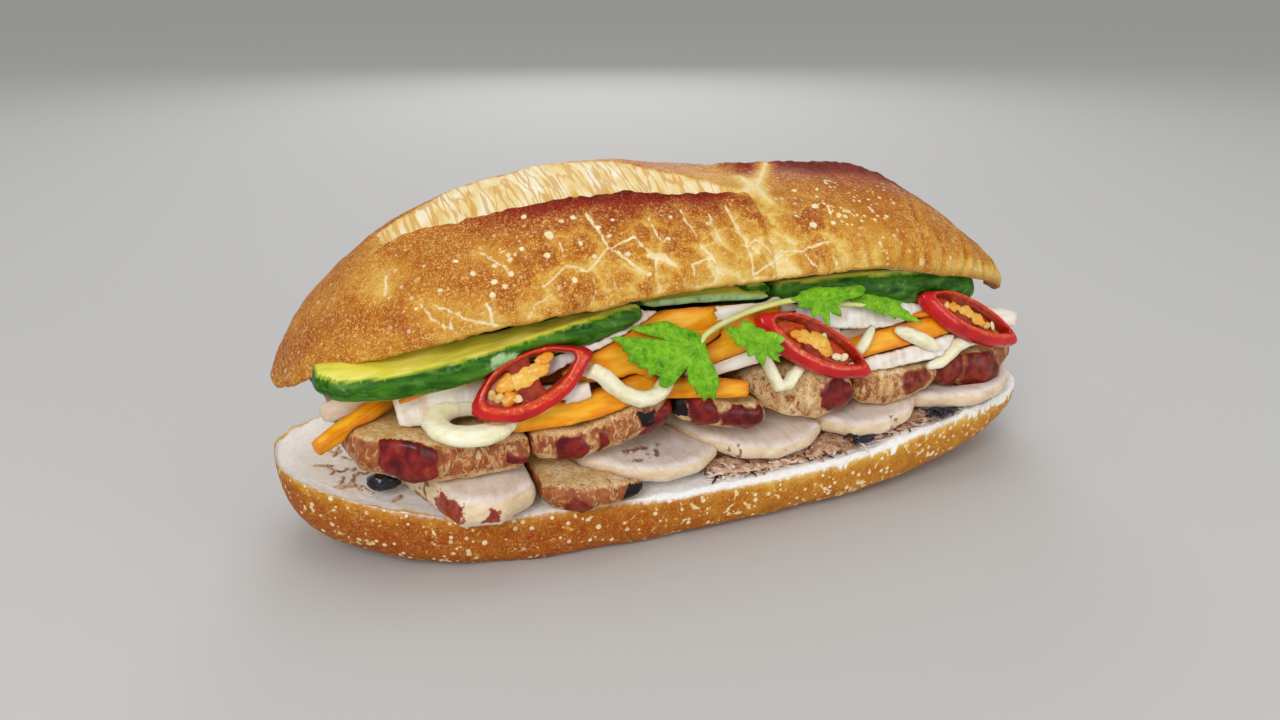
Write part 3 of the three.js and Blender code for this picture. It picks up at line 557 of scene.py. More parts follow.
BREAD = bread_material()
ROAST = roast_material()
WHITE_MEAT = white_meat_material()
CUCUMBER = cucumber_material()
CARROT = pickle_material(
    "carrot", ((0.15, "#e27c06"), (0.4, "#f6a010"), (0.6, "#fcb826"), (0.85, "#fdcb58")), "#dd6e04", 0.1
)
DAIKON = pickle_material(
    "daikon", ((0.15, "#dfc9b8"), (0.4, "#efe3d8"), (0.6, "#f8f3ec"), (0.85, "#fdfbf8")), "#e6cfae", 0.25
)
CHILI = chili_material()
CHILI_FLESH = chili_flesh_material()
HERB = herb_material()
MAYONNAISE = toned_material(
    "mayonnaise", grain=(2.4, 3), share=0.4, relief=(1.6, 2, 0.5), height=0.08,
    stops=((0.2, "#ece2aa"), (0.5, "#f8f3d0"), (0.8, "#fdfbe8")),
    roughness=0.28, subsurface=0.25,
)
SEED = toned_material(
    "seed", grain=(0.8, 3), share=0.5, relief=(0.5, 2), height=0.04,
    stops=((0.2, "#dfa956"), (0.5, "#f3d793"), (0.8, "#fbf0cf")),
    roughness=0.35, subsurface=0.15,
)
STEM = toned_material(
    "stem", grain=(2.5, 3, 0.0, (4, 1, 1)), share=0.3, relief=(1.2, 2), height=0.04,
    stops=((0.25, "#b3c94e"), (0.5, "#d9df82"), (0.8, "#eef0b4")),
    roughness=0.35, subsurface=0.15,
)
MINCED = toned_material(
    "minced", grain=(1.3, 5, 1.0), share=0.9, relief=(0.8, 4), height=0.15,
    stops=(
        (0.06, "#1b1216"), (0.2, "#5c2a24"), (0.36, "#a06c4c"),
        (0.5, "#cba07c"), (0.68, "#e4c8ae"), (0.9, "#f3e4d6"),
    ),
    roughness=0.5, subsurface=0.05,
)
DARK = toned_material(
    "dark_bit", grain=(1.8, 4, 0.8), share=0.3, relief=(0.9, 3), height=0.15,
    stops=((0.3, "#08070c"), (0.55, "#1a1722"), (0.8, "#3c3440")),
    roughness=0.16,
)


# ---------------------------------------------------------------- finer pieces from CAD solids
def near_average(obj, values, times):
    """Values averaged over each vertex's neighbours, some number of times."""
    pairs = np.empty(len(obj.data.edges) * 2, np.int64)
    obj.data.edges.foreach_get("vertices", pairs)
    a, b = pairs.reshape(-1, 2).T
    count = np.bincount(a, minlength=len(values)) + np.bincount(b, minlength=len(values))
    for _ in range(times):
        total = np.bincount(a, values[b], len(values)) + np.bincount(b, values[a], len(values))
        values = (values + total) / (1 + count)
    return values


def edges(obj, points, normals):
    """1 along outer edges and corners, 0 on flat stretches and -1 in grooves."""
    average = np.stack([near_average(obj, points[:, k], 2) for k in range(3)], -1)
    standing = ((points - average) * normals).sum(-1)
    return np.clip(near_average(obj, standing, 3) * 14, -1, 1)


def region(points, outlines, seed):
    """1 well inside outlines drawn on the front in (x, z), 0.5 on their ragged edges, 0 outside."""
    result = np.zeros(len(points))
    for outline in outlines:
        inside = within(outline, points[:, 0], points[:, 2]) + 1.2 * noise(points, 2.8, seed, 3)
        result = np.maximum(result, np.clip(0.5 + inside / 1.6, 0, 1))
    return result


def roast(node, seed, brown=0.5, glaze=(), char=(), bands=0.0, depth=1.0):
    """A roast slab: browned front, glazed and charred patches outlined on it, and upright bands.

    depth is how dark and wet the glaze is.
    """
    obj, p, n = remeshed(node, node + "_meat", voxel=0.72, smoothing=3)
    side = smooth(0.85, 0.4, np.abs(n[:, 2]))
    front = smooth(0.1, 0.7, -n[:, 1]) * side
    faced = smooth(0.2, -0.15, n[:, 1]) * smooth(0.97, 0.85, n[:, 2])
    behind = smooth(-0.1, 0.5, n[:, 1]) * side * smooth(0.2, 0.34, noise(p, (7, 7, 5), seed + 8, 2))
    glazed = np.maximum(region(p, glaze, seed + 6) * faced, behind)
    charred = region(p, char, seed + 7) * faced
    edge = edges(obj, p, n)
    upright = noise(p + 0.8 * noise(p, 5, seed)[:, None], (1.5, 4, 7), seed + 1, 2)
    netting = noise(p, (2.4, 3, 3.4), seed + 2, 3)
    lift = 0.28 * noise(p, 7, seed + 3, 2) + 0.08 * noise(p, 1.6, seed + 4, 2) * (1 - glazed)
    lift += bands * front * 0.28 * upright + smooth(0.2, 0.9, glazed) * (0.45 + 0.2 * noise(p, 5, seed + 5))
    reshape(obj, p + n * lift[:, None])
    sear = brown + 0.22 * side + 0.15 * np.clip(edge, 0, 1) + 0.4 * netting + 0.5 * bands * front * upright
    paint(obj, "mark", sear - 0.36 * (1 - side), depth * glazed, charred)
    return place(obj, ROAST, "roast_pork", node)


def white_meat(node, seed, marks=(), red=(), beige=0.8):
    """A pale slice: streaked on top, beige round its side, with brown marks."""
    obj, p, n = remeshed(node, node + "_meat", voxel=0.92, smoothing=4)
    side = smooth(0.75, 0.45, np.abs(n[:, 2]))
    streaks = noise(p + 1.5 * noise(p, 9, seed)[:, None], (2.2, 9, 3), seed + 1, 2)
    reshape(obj, p + n * (0.22 * noise(p, 8, seed + 2, 2) + 0.1 * streaks)[:, None])
    line = near(edges(obj, p, n) - 0.35, 0.2) * 0.5
    marked = spots(p, marks, 0.6, seed + 3) * smooth(-0.2, 0.4, noise(p, 2.2, seed + 4, 2))
    specks = smooth(0.62, 0.75, noise(p, 1.8, seed + 5)) * 0.5
    reddened = region(p, red, seed + 6) * side
    paint(obj, "mark", beige * side + line, np.maximum(marked, specks * side), reddened)
    return place(obj, WHITE_MEAT, "white_meat", node)


# How far a cucumber's cut face rises behind its front edge, to meet the bread over it.
FLESH_RISE = 2.2


def cucumber(node, seed, pale=0.0, patches=(), swell=0.7, voxel=0.85, smoothing=9):
    """A long cucumber slice: dark skin round its side and wet yellow-green flesh; the patches are painted
    highlights on its skin.
    """
    obj, p, n = remeshed(node, node + "_slice", voxel, smoothing)
    skin = smooth(0.42, 0.62, np.hypot(n[:, 0], n[:, 1]) + 0.06 * noise(p, 4, seed))
    raised = FLESH_RISE * smooth(0, 12, p[:, 1] - p[:, 1].min() - 1) * smooth(0.2, 0.8, n[:, 2])
    p[:, 2] += raised * smooth(4, 16, p[:, 1].max() - p[:, 1])
    reshape(obj, p + n * (swell + 0.18 * noise(p, 7, seed + 1, 2) + 0.06 * noise(p, 2, seed + 2))[:, None])
    # The pale channel also carries painted highlights at the patches.
    light = np.maximum(pale, spots(p, patches, 0.5, seed + 3))
    paint(obj, "mark", skin, light, smooth(0.0, 0.6, noise(p, (14, 4, 1.6), seed + 4)))
    return place(obj, CUCUMBER, "cucumber", node)


def cut_strip(node, material, slot, seed):
    """A pickled strip with soft corners and a slightly wavy cut face."""
    obj, p, n = remeshed(node, node + "_strip", voxel=0.52, smoothing=5)
    reshape(obj, p + n * (0.14 * noise(p, (5, 3, 1.5), seed, 2))[:, None])
    paint(obj, "mark", edges(obj, p, n), 0.5 + 0.5 * noise(p, (9, 3, 2), seed + 1, 2))
    return place(obj, material, slot, node)


def limp_slices(node, seed):
    """Thin white slices on edge, with fine upright folds."""
    obj, p, n = remeshed(node, node + "_slices", voxel=0.5, smoothing=2)
    folds = noise(p, (1.4, 12, 12), seed, 2) + 0.5 * noise(p, (5, 12, 12), seed + 1)
    reshape(obj, p + 0.55 * folds[:, None] * np.array([0, 1, 0.3]))
    paint(obj, "mark", 0.5 * edges(obj, p, n), 0.5 + 0.7 * folds)
    return place(obj, DAIKON, "daikon", node)


def sauce(node, seed, swell=0.3):
    """A squeezed line, rounded, faintly ridged and swollen by a little."""
    obj, p, n = remeshed(node, node + "_line", voxel=0.46, smoothing=9)
    ridges = noise(p, (4, 1.1, 1.1), seed, 2)
    reshape(obj, p + n * (swell + 0.14 * ridges + 0.12 * noise(p, 3.5, seed + 1))[:, None])
    paint(obj, "mark", 0.5 + 0.5 * ridges)
    return place(obj, MAYONNAISE, "mayonnaise", node)


# ---------------------------------------------------------------- small closed shapes
def pebble(centre, axes, radii, rings=7, around=10):
    """An egg-like shape along given directions."""
    polar = np.pi * (np.arange(rings) + 0.5) / rings
    turn = 2 * np.pi * np.arange(around) / around
    lengthwise, across = np.cos(polar)[:, None], np.sin(polar)[:, None]
    local = np.stack([lengthwise + 0 * turn, across * np.cos(turn), across * np.sin(turn)], -1)
    return skin(np.asarray(centre) + (local * radii) @ np.asarray(axes))


def curve(path, count):
    """Evenly spaced places on a smooth curve through some points."""
    path = np.array(path, float)
    reach = np.concatenate([[0], np.cumsum(np.linalg.norm(np.diff(path, axis=0), axis=1))])
    at = np.linspace(0, reach[-1], count)
    return np.stack([track(*zip(reach, path[:, k]))(at) for k in range(3)], -1)


# How broad the ends of a bar are, as a share of the rest.
BAR_END = 0.6


def bar(path, width, height, count=12, sides=10, power=2.0, lean=0.0):
    """A closed bar along a path; a higher power squares its section, and lean tips its top back."""
    at = curve(path, count)
    ahead = np.gradient(at, axis=0)
    ahead /= np.linalg.norm(ahead, axis=-1, keepdims=True)
    side = np.cross(ahead, (0, 0, 1))
    side /= np.linalg.norm(side, axis=-1, keepdims=True)
    up = np.cross(side, ahead)
    a = 2 * np.pi * np.arange(sides) / sides
    across = np.sign(np.cos(a)) * np.abs(np.cos(a)) ** (2 / power) * width / 2
    rise = np.sign(np.sin(a)) * np.abs(np.sin(a)) ** (2 / power) * height / 2
    c, s = math.cos(lean), math.sin(lean)
    across, rise = across * c + rise * s, rise * c - across * s
    scale = np.ones(count)
    scale[[0, -1]] = BAR_END
    offsets = across[None, :, None] * side[:, None] + rise[None, :, None] * up[:, None]
    return skin(at[:, None] + scale[:, None, None] * offsets)


class Heap:
    """Many small closed pieces gathered into one mesh, each with a tone of its own."""

    def __init__(self):
        self.points = []
        self.faces = []
        self.tones = []
        self.count = 0

    def add(self, points, faces, tone):
        self.points.append(points)
        self.faces += [[i + self.count for i in face] for face in faces]
        self.tones.append(np.full(len(points), tone))
        self.count += len(points)

    def build(self, name, material, slot, *nodes):
        obj = make_object(name, np.concatenate(self.points), self.faces)
        paint(obj, "mark", np.concatenate(self.tones))
        return place(obj, material, slot, *nodes)


# ---------------------------------------------------------------- chili rings
def ring_frame(points):
    """Middle of a ring, its length, breadth and outward directions, and its two half sizes."""
    middle = points.mean(0)
    directions = np.linalg.svd(points - middle, full_matrices=False)[2]
    length = directions[0] * np.sign(directions[0][0])
    outward = directions[2] * -np.sign(directions[2][1])
    axes = np.stack([length, np.cross(outward, length), outward])
    local = (points - middle) @ axes.T
    low, high = local.min(0), local.max(0)
    middle = middle + ((low + high) / 2) @ axes
    return middle, axes, (high - low) / 2


# The seeds and the flesh of all the rings gather here.
SEEDS = Heap()
FLESH = Heap()
# How far a ring's opening sits above its middle, which leaves a broad band of skin under it.
OPENING_RISE = 1.1
# How much narrower a ring's outline is at its ends than an oval.
END_PINCH = 0.3


def chili(node, seed, flesh, seeds):
    """An oblique ring: glossy rounded skin, a thin flecked rim round its opening and a dark inner wall.

    flesh and seeds lie in it: each has its place along and across as shares of the half sizes, its
    distance out, its half sizes and its tone, or its turn for a seed.
    """
    obj, p, n = remeshed(node, node + "_ring", voxel=0.4, smoothing=6)
    middle, axes, half = ring_frame(p)
    local = (p - middle) @ axes.T
    u = local[:, 0] / half[0]
    v = local[:, 1] / (half[1] * (1 - 0.12 * u))
    rho = np.hypot(u, v)
    web = smooth(0.74, 0.62, rho)
    radial = ((n @ axes.T)[:, :2] * np.stack([u / half[0], v / half[1]], -1)).sum(-1)
    radial /= np.maximum(np.hypot(u / half[0], v / half[1]), 1e-6)
    rim = smooth(0.9, 0.8, rho + 0.03 * noise(p, 3, seed)) * smooth(-0.5, 0.1, radial)
    inner = smooth(-0.2, -0.6, radial) * (1 - web)
    out = smooth(-0.5, 0.5, local[:, 2])
    drop = out * (1.3 * smooth(0.76, 1.04, rho) ** 1.6 + 1.2 * web) - 0.12 * noise(p, 5, seed + 1)
    rise = OPENING_RISE * smooth(1.0, 0.7, rho)
    pinch = -END_PINCH * smooth(0.35, 1, np.abs(u)) * local[:, 1]
    reshape(obj, p - drop[:, None] * axes[2] + (rise + pinch)[:, None] * axes[1])
    paint(obj, "mark", rim, inner, web)
    place(obj, CHILI, "chili", node)
    middle = middle + OPENING_RISE * axes[1]
    for k, (at, across, out, long, wide, thick, tone) in enumerate(flesh):
        centre = middle + np.array([at * half[0], across * half[1], out]) @ axes
        points, faces = pebble(centre, axes, (1.25 * long, 1.25 * wide, 0.8 * thick), rings=18, around=28)
        away = (points - centre) / np.linalg.norm(points - centre, axis=-1, keepdims=True)
        FLESH.add(points + away * (0.9 * noise(points, 2, seed + k, 3))[:, None], faces, tone)
    for at, across, out, turn in seeds:
        centre = middle + np.array([at * half[0], across * half[1], out]) @ axes
        c, s = math.cos(turn), math.sin(turn)
        tilted = np.array([[c, s, 0.3], [-s, c, 0.1], [0, -0.2, 1]]) @ axes
        SEEDS.add(*pebble(centre, tilted, (1.4, 1.05, 0.45)), 0.4 + 0.4 * math.sin(9 * turn))


# ---------------------------------------------------------------- herb leaves
def leaf(node, centre, lean, cup, seed, outline, veins, curl=0.0):
    """A cilantro leaf facing the front, tipped back by lean.

    Its outline and its veins go from its centre: each is (direction in degrees, length). Its edge
    bends back by cup at 12 from its centre, and curl brings its upper right forward.
    """
    around, count = 260, 15
    degrees = 360 * np.arange(around) / around
    reach = np.mean([np.interp(degrees + turn, *zip(*outline), period=360) for turn in (-1, 0, 1)], axis=0)
    share = np.linspace(0.03, 1, count) ** 0.8
    a = np.radians(degrees)
    u = share[:, None] * reach * np.cos(a)
    v = share[:, None] * reach * np.sin(a)
    flat = np.stack([u, v, 0 * u], -1)
    vein = np.zeros(u.shape)
    for heading, length in veins:
        d = math.radians(heading)
        ahead, off = u * math.cos(d) + v * math.sin(d), v * math.cos(d) - u * math.sin(d)
        inside = smooth(-1, 1, ahead) * smooth(length, 0.7 * length, ahead)
        vein = np.maximum(vein, inside * near(off, 0.28))
        for k in (0.3, 0.5, 0.7):
            branch = ahead - k * length - 1.2 * np.abs(off)
            vein = np.maximum(vein, 0.55 * inside * near(branch, 0.25) * smooth(4, 1, np.abs(off)))
    w = 0.7 * noise(flat, 6, seed) + 0.3 * noise(flat, 2.4, seed + 1)
    w -= 0.2 * vein + cup * (u**2 + v**2) / 144
    w += curl * share[:, None] ** 4 * smooth(0, 8, u) * smooth(-2, 4, v)
    w += 0.5 * smooth(0.75, 1, share[:, None]) * noise(flat, 3, seed + 2)
    half = 0.3 * (1 - 0.7 * share[:, None] ** 6)
    local = np.concatenate([np.stack([u, v, w + half], -1), np.stack([u, v, w - half], -1)[::-1]])
    c, s = math.cos(lean), math.sin(lean)
    x, y, z = centre
    across, rise, out = np.moveaxis(local, -1, 0)
    rings = np.stack([x + across, y + rise * s - out * c, z + rise * c + out * s], -1)
    obj = loft(node + "_blade", rings)
    tone = 0.5 + 0.5 * noise(flat, 4, seed + 3, 2)
    edge = smooth(0.88, 1, share[:, None]) + 0 * u
    paint(obj, "mark", *[np.concatenate([value, value[::-1]]) for value in (vein, tone, edge)])
    return place(obj, HERB, "herb", node)


# ---------------------------------------------------------------- outlines of the roll
LOWER = {"centre": -0.5, "half_length": 110.5, "half_width": 38, "power": 2.6}
UPPER = {"centre": -3.5, "half_length": 106, "half_width": 37, "power": 2.4}
# How far behind the middle the ridge of the upper half runs, and how full its front and back are.
RIDGE_Y = 5
FRONT_POWER = 1.8
BACK_POWER = 2.2
# How far the lower cut face dishes and the upper one arches.
CUT_DISH = 1.2
# The lip before each score stands up by EAR_LIFT over EAR_WIDTH, and the score sinks by SCORE_DEPTH.
EAR_LIFT = 1.4
EAR_WIDTH = 7
SCORE_DEPTH = 2.8

# Heights along the roll.
lower_front_rim = track(
    (-111, 24.5), (-103, 22.5), (-94, 20), (-84, 17.5), (-72, 15.4), (-55, 14.3),
    (20, 14.7), (38, 15.8), (55, 18), (75, 20), (98, 20), (110, 19),
)
lower_back_rim = track((-111, 24.5), (-70, 23.5), (60, 23), (95, 21.5), (110, 19))
lower_foot_dip = track((-111, 4), (-60, 3.2), (-20, 1.8), (30, 1.2), (110, 0.9))
upper_front_rim = track(
    (-109.5, 45.5), (-99, 53), (-88, 56.6), (-66, 62), (-49, 64.6), (-33, 66.4), (-16, 68),
    (33, 68.2), (49, 67), (66, 63.8), (77, 61), (88, 57), (97, 53), (102.5, 49),
)
upper_back_rim = track((-109.5, 45.5), (-60, 45.5), (0, 46), (60, 46), (102.5, 49))
upper_ridge = track(
    (-109.5, 45.5), (-101, 60), (-88, 72.4), (-79, 79), (-64, 85), (-43, 90.4), (-24, 92),
    (-7, 90.6), (17, 87.8), (39, 86.8), (58, 84), (72, 78), (84, 70), (92, 63.5), (99, 56), (102.5, 49),
)

# The edges of the two scores, across the roll at places along it.
front_lip = track(
    (-92, 2), (-84, -1.5), (-77, -5), (-64, -10.5), (-48, -15), (-25, -17.5), (14, -19), (22, -21),
)
front_score_back = track(
    (-90, 4), (-76, 6), (-58, 11), (-38, 11), (-18, 5), (-6, -4), (6, -13), (14, -18.6),
)
back_lip = track((-8, 3), (6, 3.5), (45, 5), (72, 7), (92, 11))
back_score_back = track((0, 5), (18, 15), (45, 20), (70, 18), (90, 11.5))


def rounded(t, power):
    return np.maximum(0, 1 - np.abs(t) ** power) ** (1 / power)


def half_width(half, x):
    return half["half_width"] * rounded((x - half["centre"]) / half["half_length"], half["power"])


def stations(half, count):
    """Places along a half, closer together at its ends."""
    u = np.linspace(-1, 1, count)
    t = np.sign(u) * (1 - (1 - np.abs(u)) ** 1.25)
    t[0], t[-1] = -0.99998, 0.99998
    return half["centre"] + half["half_length"] * t


def bed(x, y):
    """Height of the lower cut face."""
    w = np.maximum(half_width(LOWER, x), 6)
    s = np.clip((y + w) / (2 * w), 0, 1)
    return mix(lower_front_rim(x), lower_back_rim(x), s) - CUT_DISH * 4 * s * (1 - s)


def dome(x, angle):
    """The upper crust before its scores: angle 0 is the front rim and pi the back rim."""
    w = half_width(UPPER, x)
    ridge_y = np.minimum(RIDGE_Y, 0.35 * w)
    front = angle < np.pi / 2
    power = np.where(front, FRONT_POWER, BACK_POWER)
    across = np.abs(np.cos(angle)) ** (2 / power)
    up = np.sin(angle) ** (2 / power)
    y = ridge_y + np.where(front, -(w + ridge_y), w - ridge_y) * across
    rim = np.where(front, upper_front_rim(x), upper_back_rim(x))
    return np.stack([x + 0 * y, y, mix(rim, upper_ridge(x), up)], -1)


def angle_at(x, y):
    """Where on the dome a place across the roll is."""
    w = half_width(UPPER, x)
    ridge_y = np.minimum(RIDGE_Y, 0.35 * w)
    front = y < ridge_y
    reach = np.where(front, w + ridge_y, w - ridge_y)
    share = np.clip(np.abs(y - ridge_y) / reach, 0, 1)
    angle = np.arccos(share ** (np.where(front, FRONT_POWER, BACK_POWER) / 2))
    return np.where(front, angle, np.pi - angle)


def along(points):
    """Distance from the front rim round the section, for a grid of points."""
    steps = np.linalg.norm(np.diff(points, axis=1), axis=-1)
    return np.concatenate([np.zeros((len(points), 1)), np.cumsum(steps, axis=1)], axis=1)


def from_back(points):
    """The same from the back rim."""
    return along(points[:, ::-1])[:, ::-1]


def paint_half(obj, name, crust, face, *channels):
    """Paints a half of the roll; each channel is a value on its crust and one on its cut face."""
    shapes = crust.shape[:2], face.shape[:2]
    paint(obj, name, *[
        np.concatenate([np.broadcast_to(value, shape) for value, shape in zip(pair, shapes)], axis=1)
        for pair in channels
    ])


# ---------------------------------------------------------------- upper half of the roll
# Creases that fold the crust inward and fade out over the height of their first point: depth, and
# their path as (x, distance up from the front rim).
FOLDS = [
    (1.3, [(69, 35), (60, 18), (58, 9), (58, 0)]),
    (0.6, [(51, 12), (49.5, 5), (48, 0)]),
    (0.6, [(64, 12), (64.5, 3), (64, 0)]),
    (0.8, [(80, 25), (76, 12), (74, 4), (72, 0)]),
    (0.5, [(81, 9), (82.5, 0)]),
    (0.6, [(92, 22), (89, 8), (89, 0)]),
    (0.4, [(37, 8), (38, 0)]),
    (0.5, [(-59, 3), (-57.4, 5.6), (-53.8, 6.8), (-48, 7.8)]),
    (0.4, [(-95, 0), (-91, 2.5), (-88, 3)]),
]
# Cracks that show pale dough between plates of crust: strength, and their path in the same way.
CRACKS = [
    (1.0, [(-34.3, 25), (-33.5, 20.5), (-32, 14.2), (-28.7, 10.1), (-26.3, 6.7)]),
    (0.95, [(-32, 14.2), (-35.7, 11), (-38.4, 9.1), (-42.6, 11.7)]),
    (0.95, [(-31, 14), (-25.5, 15.3), (-23.3, 12.2), (-20.6, 9)]),
    (0.9, [(-43, 17.7), (-42.6, 11.7), (-47.2, 8.2), (-49.6, 7.3)]),
    (1.0, [(-10, 23), (-10, 18), (-9, 10.7), (-6.4, 5.2), (-6, 3.8)]),
    (1.0, [(3, 22.8), (2.4, 16.8), (3.3, 8.7), (3, 1.2)]),
    (0.92, [(-7.5, 6.7), (-12.8, 5.5), (-12.5, 3), (-11.6, 0)]),
    (0.95, [(-7.6, 0), (-6, 3.8), (-4.6, 1.1)]),
    (0.95, [(4.3, 9.2), (5.8, 10.3), (7.3, 9.5), (9.9, 5.3)]),
    (0.95, [(3, 1.2), (9.3, 4), (14.8, 7)]),
    (1.2, [(-22.7, 9.8), (-20.6, 9), (-17.2, 6.1)]),
    (1.0, [(-21.2, 8.6), (-21.8, 4.9), (-21.5, 0.3)]),
    (0.96, [(-19.7, 20.9), (-19.1, 14.3), (-18.7, 12.4)]),
    (0.96, [(-3.3, 20.2), (-3.6, 15.3), (-3.4, 11.2)]),
    (1.0, [(10.5, 5.2), (12.4, 6.9), (18.8, 6), (20.9, 7.2), (26.9, 7.9)]),
    (0.9, [(10.3, 4.7), (10.6, 0)]),
    (0.9, [(13.8, 6.5), (14.2, 0)]),
    (0.95, [(19, 5.6), (20.2, 2.1), (22.6, 0)]),
    (0.9, [(26.2, 7.4), (26.8, 3.5), (27.8, 0)]),
    (0.88, [(29, 5), (30, 0)]),
    (0.96, [(-61, 20.3), (-58.8, 17), (-56.5, 13.5)]),
    (0.96, [(-77.2, 10), (-74, 4.6), (-70, 0)]),
    (0.96, [(-74, 9), (-68.4, 4.2), (-63.2, 1), (-60.5, 0)]),
    (1.0, [(-62.6, 6), (-62, 2), (-62, 0)]),
    (1.0, [(-82.5, 21.8), (-83, 18.4), (-83.6, 15.8)]),
    (0.94, [(-53.6, 0), (-52, 3.2), (-47.5, 5.2)]),
    (0.86, [(-38, 9), (-37, 4), (-38.5, 0)]),
]
# Stretched pale dough bridging the two scores, in the same way.
BRIDGES = [[(16, 22), (15, 30), (21, 38), (27, 46)], [(8, 27), (15, 30)], [(15, 30), (14, 38)]]
# White blisters on the crust: x, distance up from the front rim, radius.
BLISTERS = [
    (-45, 20, 1.1), (-41, 23.5, 0.6), (-38, 24, 0.7), (-47, 14.5, 0.8), (-56, 12, 0.7), (-60, 10.5, 0.7),
    (-61, 7.5, 0.7), (-58, 9, 0.6), (-64, 14, 0.6), (-59, 15, 0.6), (-33, 20, 0.6), (-31, 17, 0.5),
    (-49, 27, 0.5), (-57, 24, 0.5), (-28, 11, 0.6), (-19, 9, 0.6), (-24, 5, 0.5), (-17, 13, 0.5),
    (28, 20, 0.9), (31, 24, 0.5), (35, 15, 0.6), (24, 13, 1.0), (26, 28, 0.7), (38, 29, 0.6), (42, 22, 0.5),
    (-42, 7, 0.7), (-40, 9.5, 0.6), (-36, 12, 0.6), (-38.5, 16, 0.6), (-52, 18, 0.6), (-67, 19, 0.5),
    (-29, 21, 0.5), (-14, 20, 0.5), (-5, 17, 0.5), (21, 17, 0.6), (23, 22, 0.5), (33, 28, 0.5), (30, 13, 0.8),
    (48, 14, 0.7), (54, 20, 0.5), (-72, 12, 0.5), (-78, 9, 0.4), (-83, 14, 0.4), (-74, 20, 0.4),
]


class UpperCrust:
    """The upper crust as a grid, whose rows go over the roll from its front rim to its back one.

    Features add to lift, in millimetres outward, to bake, how dark the crust is, and to dough, where
    bare dough shows. opening is 1 inside a score and dark is 1 on the burnt lip in front of it.
    """

    # Columns before the first lip, between the lips and behind the second one.
    BANDS = (98, 44, 44)

    def __init__(self, x):
        w = half_width(UPPER, x)
        teeth = noise(x * (1, 0, 0), 2.6, 38, 2)[:, None]
        self.lip_1 = np.clip(front_lip(x) + 0.9 * teeth, -0.72 * w, -0.2 * w)
        self.lip_2 = np.clip(back_lip(x) + 0.7 * teeth, 0.08 * w, 0.5 * w)
        at_lip_1, at_lip_2 = angle_at(x, self.lip_1), angle_at(x, self.lip_2)
        angles = np.concatenate([
            at_lip_1 * np.linspace(0, 1, self.BANDS[0]),
            mix(at_lip_1, at_lip_2, np.linspace(0.008, 1, self.BANDS[1])),
            mix(at_lip_2, np.pi, np.linspace(0.006, 1, self.BANDS[2])),
        ], axis=1)
        self.points = dome(x, angles)
        self.x = self.points[..., 0]
        self.up = along(self.points)
        self.wobble = 0.9 * self.noise(3.4, 41, 3)
        self.bake = 0.53 + 0.15 * self.noise(24, 1, 2) + 0.09 * self.noise(7, 2, 2)
        self.lift = np.zeros(angles.shape)
        self.dough = np.zeros(angles.shape)
        self.opening = np.zeros(angles.shape)
        self.dark = np.zeros(angles.shape)

    def noise(self, size, seed, octaves=1):
        return noise(self.points, size, seed, octaves)

    def distance(self, path, wobble):
        """Distance to a path given as (x, distance up from the front rim), made to wander."""
        return distance_to(path, self.x + wobble * self.wobble, self.up + wobble * self.wobble)

    def score(self, lip, back, start, end, fades, columns, burnt, wide):
        """A score from start to end: a lifted burnt lip, and an opening that is sunk behind it.

        The columns before the opening make the lip, which is burnt over that width.
        """
        ahead = np.arange(self.lift.shape[1]) < columns
        strength = smooth(0, fades[0], self.x - start) * smooth(0, fades[1], end - self.x)
        behind = self.points[..., 1] - lip
        share = behind / np.maximum(back(self.x) - lip, 0.5)
        ragged = 1 + 0.35 * self.noise((2.5, 9, 9), 31, 2)
        ear = EAR_LIFT * strength * ragged * np.clip(1 + behind / EAR_WIDTH, 0, 1) ** 2
        sunk = SCORE_DEPTH * strength * np.clip(1 - share, 0, 1) ** 0.8
        self.lift += np.where(ahead, ear, -sunk)
        inside = strength * smooth(1.12, 0.9, share + 0.1 * self.noise(4, 32, 2))
        self.opening = np.maximum(self.opening, np.where(ahead, 0, inside))
        fading = near(behind, wide * (1 + 0.35 * self.noise((3, 6, 6), 33, 2)))
        self.dark = np.maximum(self.dark, np.where(ahead, strength * burnt(self.x) * fading, 0))

    def fill_scores(self):
        """Torn fibres of pale crumb in the openings, and the golden valley between the scores."""
        fibres = noise(self.points + 1.4 * self.noise(9, 34)[..., None], (1.6, 9, 9), 35, 3)
        self.lift += self.opening * (0.4 * fibres + 0.5 * self.noise(5, 36, 2))
        self.bake = mix(self.bake, 0.22 + 0.08 * self.noise(6, 37), self.opening)
        self.bake = mix(self.bake, 0.99, self.dark)
        valley = near(np.hypot((self.x - 13) / 14, (self.up - 37) / 12), 1)
        self.bake -= 0.24 * valley * (1 - self.dark) * (1 - self.opening)

    def brown(self):
        """Pale along both rims and low in the middle of the front, darker low at the left end."""
        x, up = self.x, self.up
        low = near(up, 8) + near(from_back(self.points), 6)
        self.bake -= low * (0.1 + 0.12 * self.noise(5, 3, 2))
        self.bake -= 0.1 * smooth(-62, -40, x) * smooth(34, 12, up) * smooth(70, 30, x)
        self.bake -= 0.08 * smooth(-22, -6, x) * smooth(52, 36, x) * smooth(26, 10, up)
        self.bake = mix(self.bake, 0.12, 0.8 * near(up, 2.6) * smooth(50, 70, x))
        self.bake += 0.09 * smooth(-60, -95, x) * smooth(24, 4, up)

    def step(self):
        """A step down to the right in the middle of the front, with a pale line along its foot as a painted
        highlight.
        """
        side = self.x - 9.4 - 0.1 * np.maximum(self.up - 8, 0)
        low = smooth(27, 20, self.up)
        self.lift += low * np.where(side < 0, 0.9 * np.exp(side / 9), -0.6 * np.exp(-side / 5))
        # A painted highlight: a pale line along the foot of the step.
        self.bake = mix(self.bake, 0.2, 0.6 * low * near(side - 0.6, 1.0))
        self.bake -= 0.16 * low * smooth(0, 2, side) * smooth(12, 3, side)

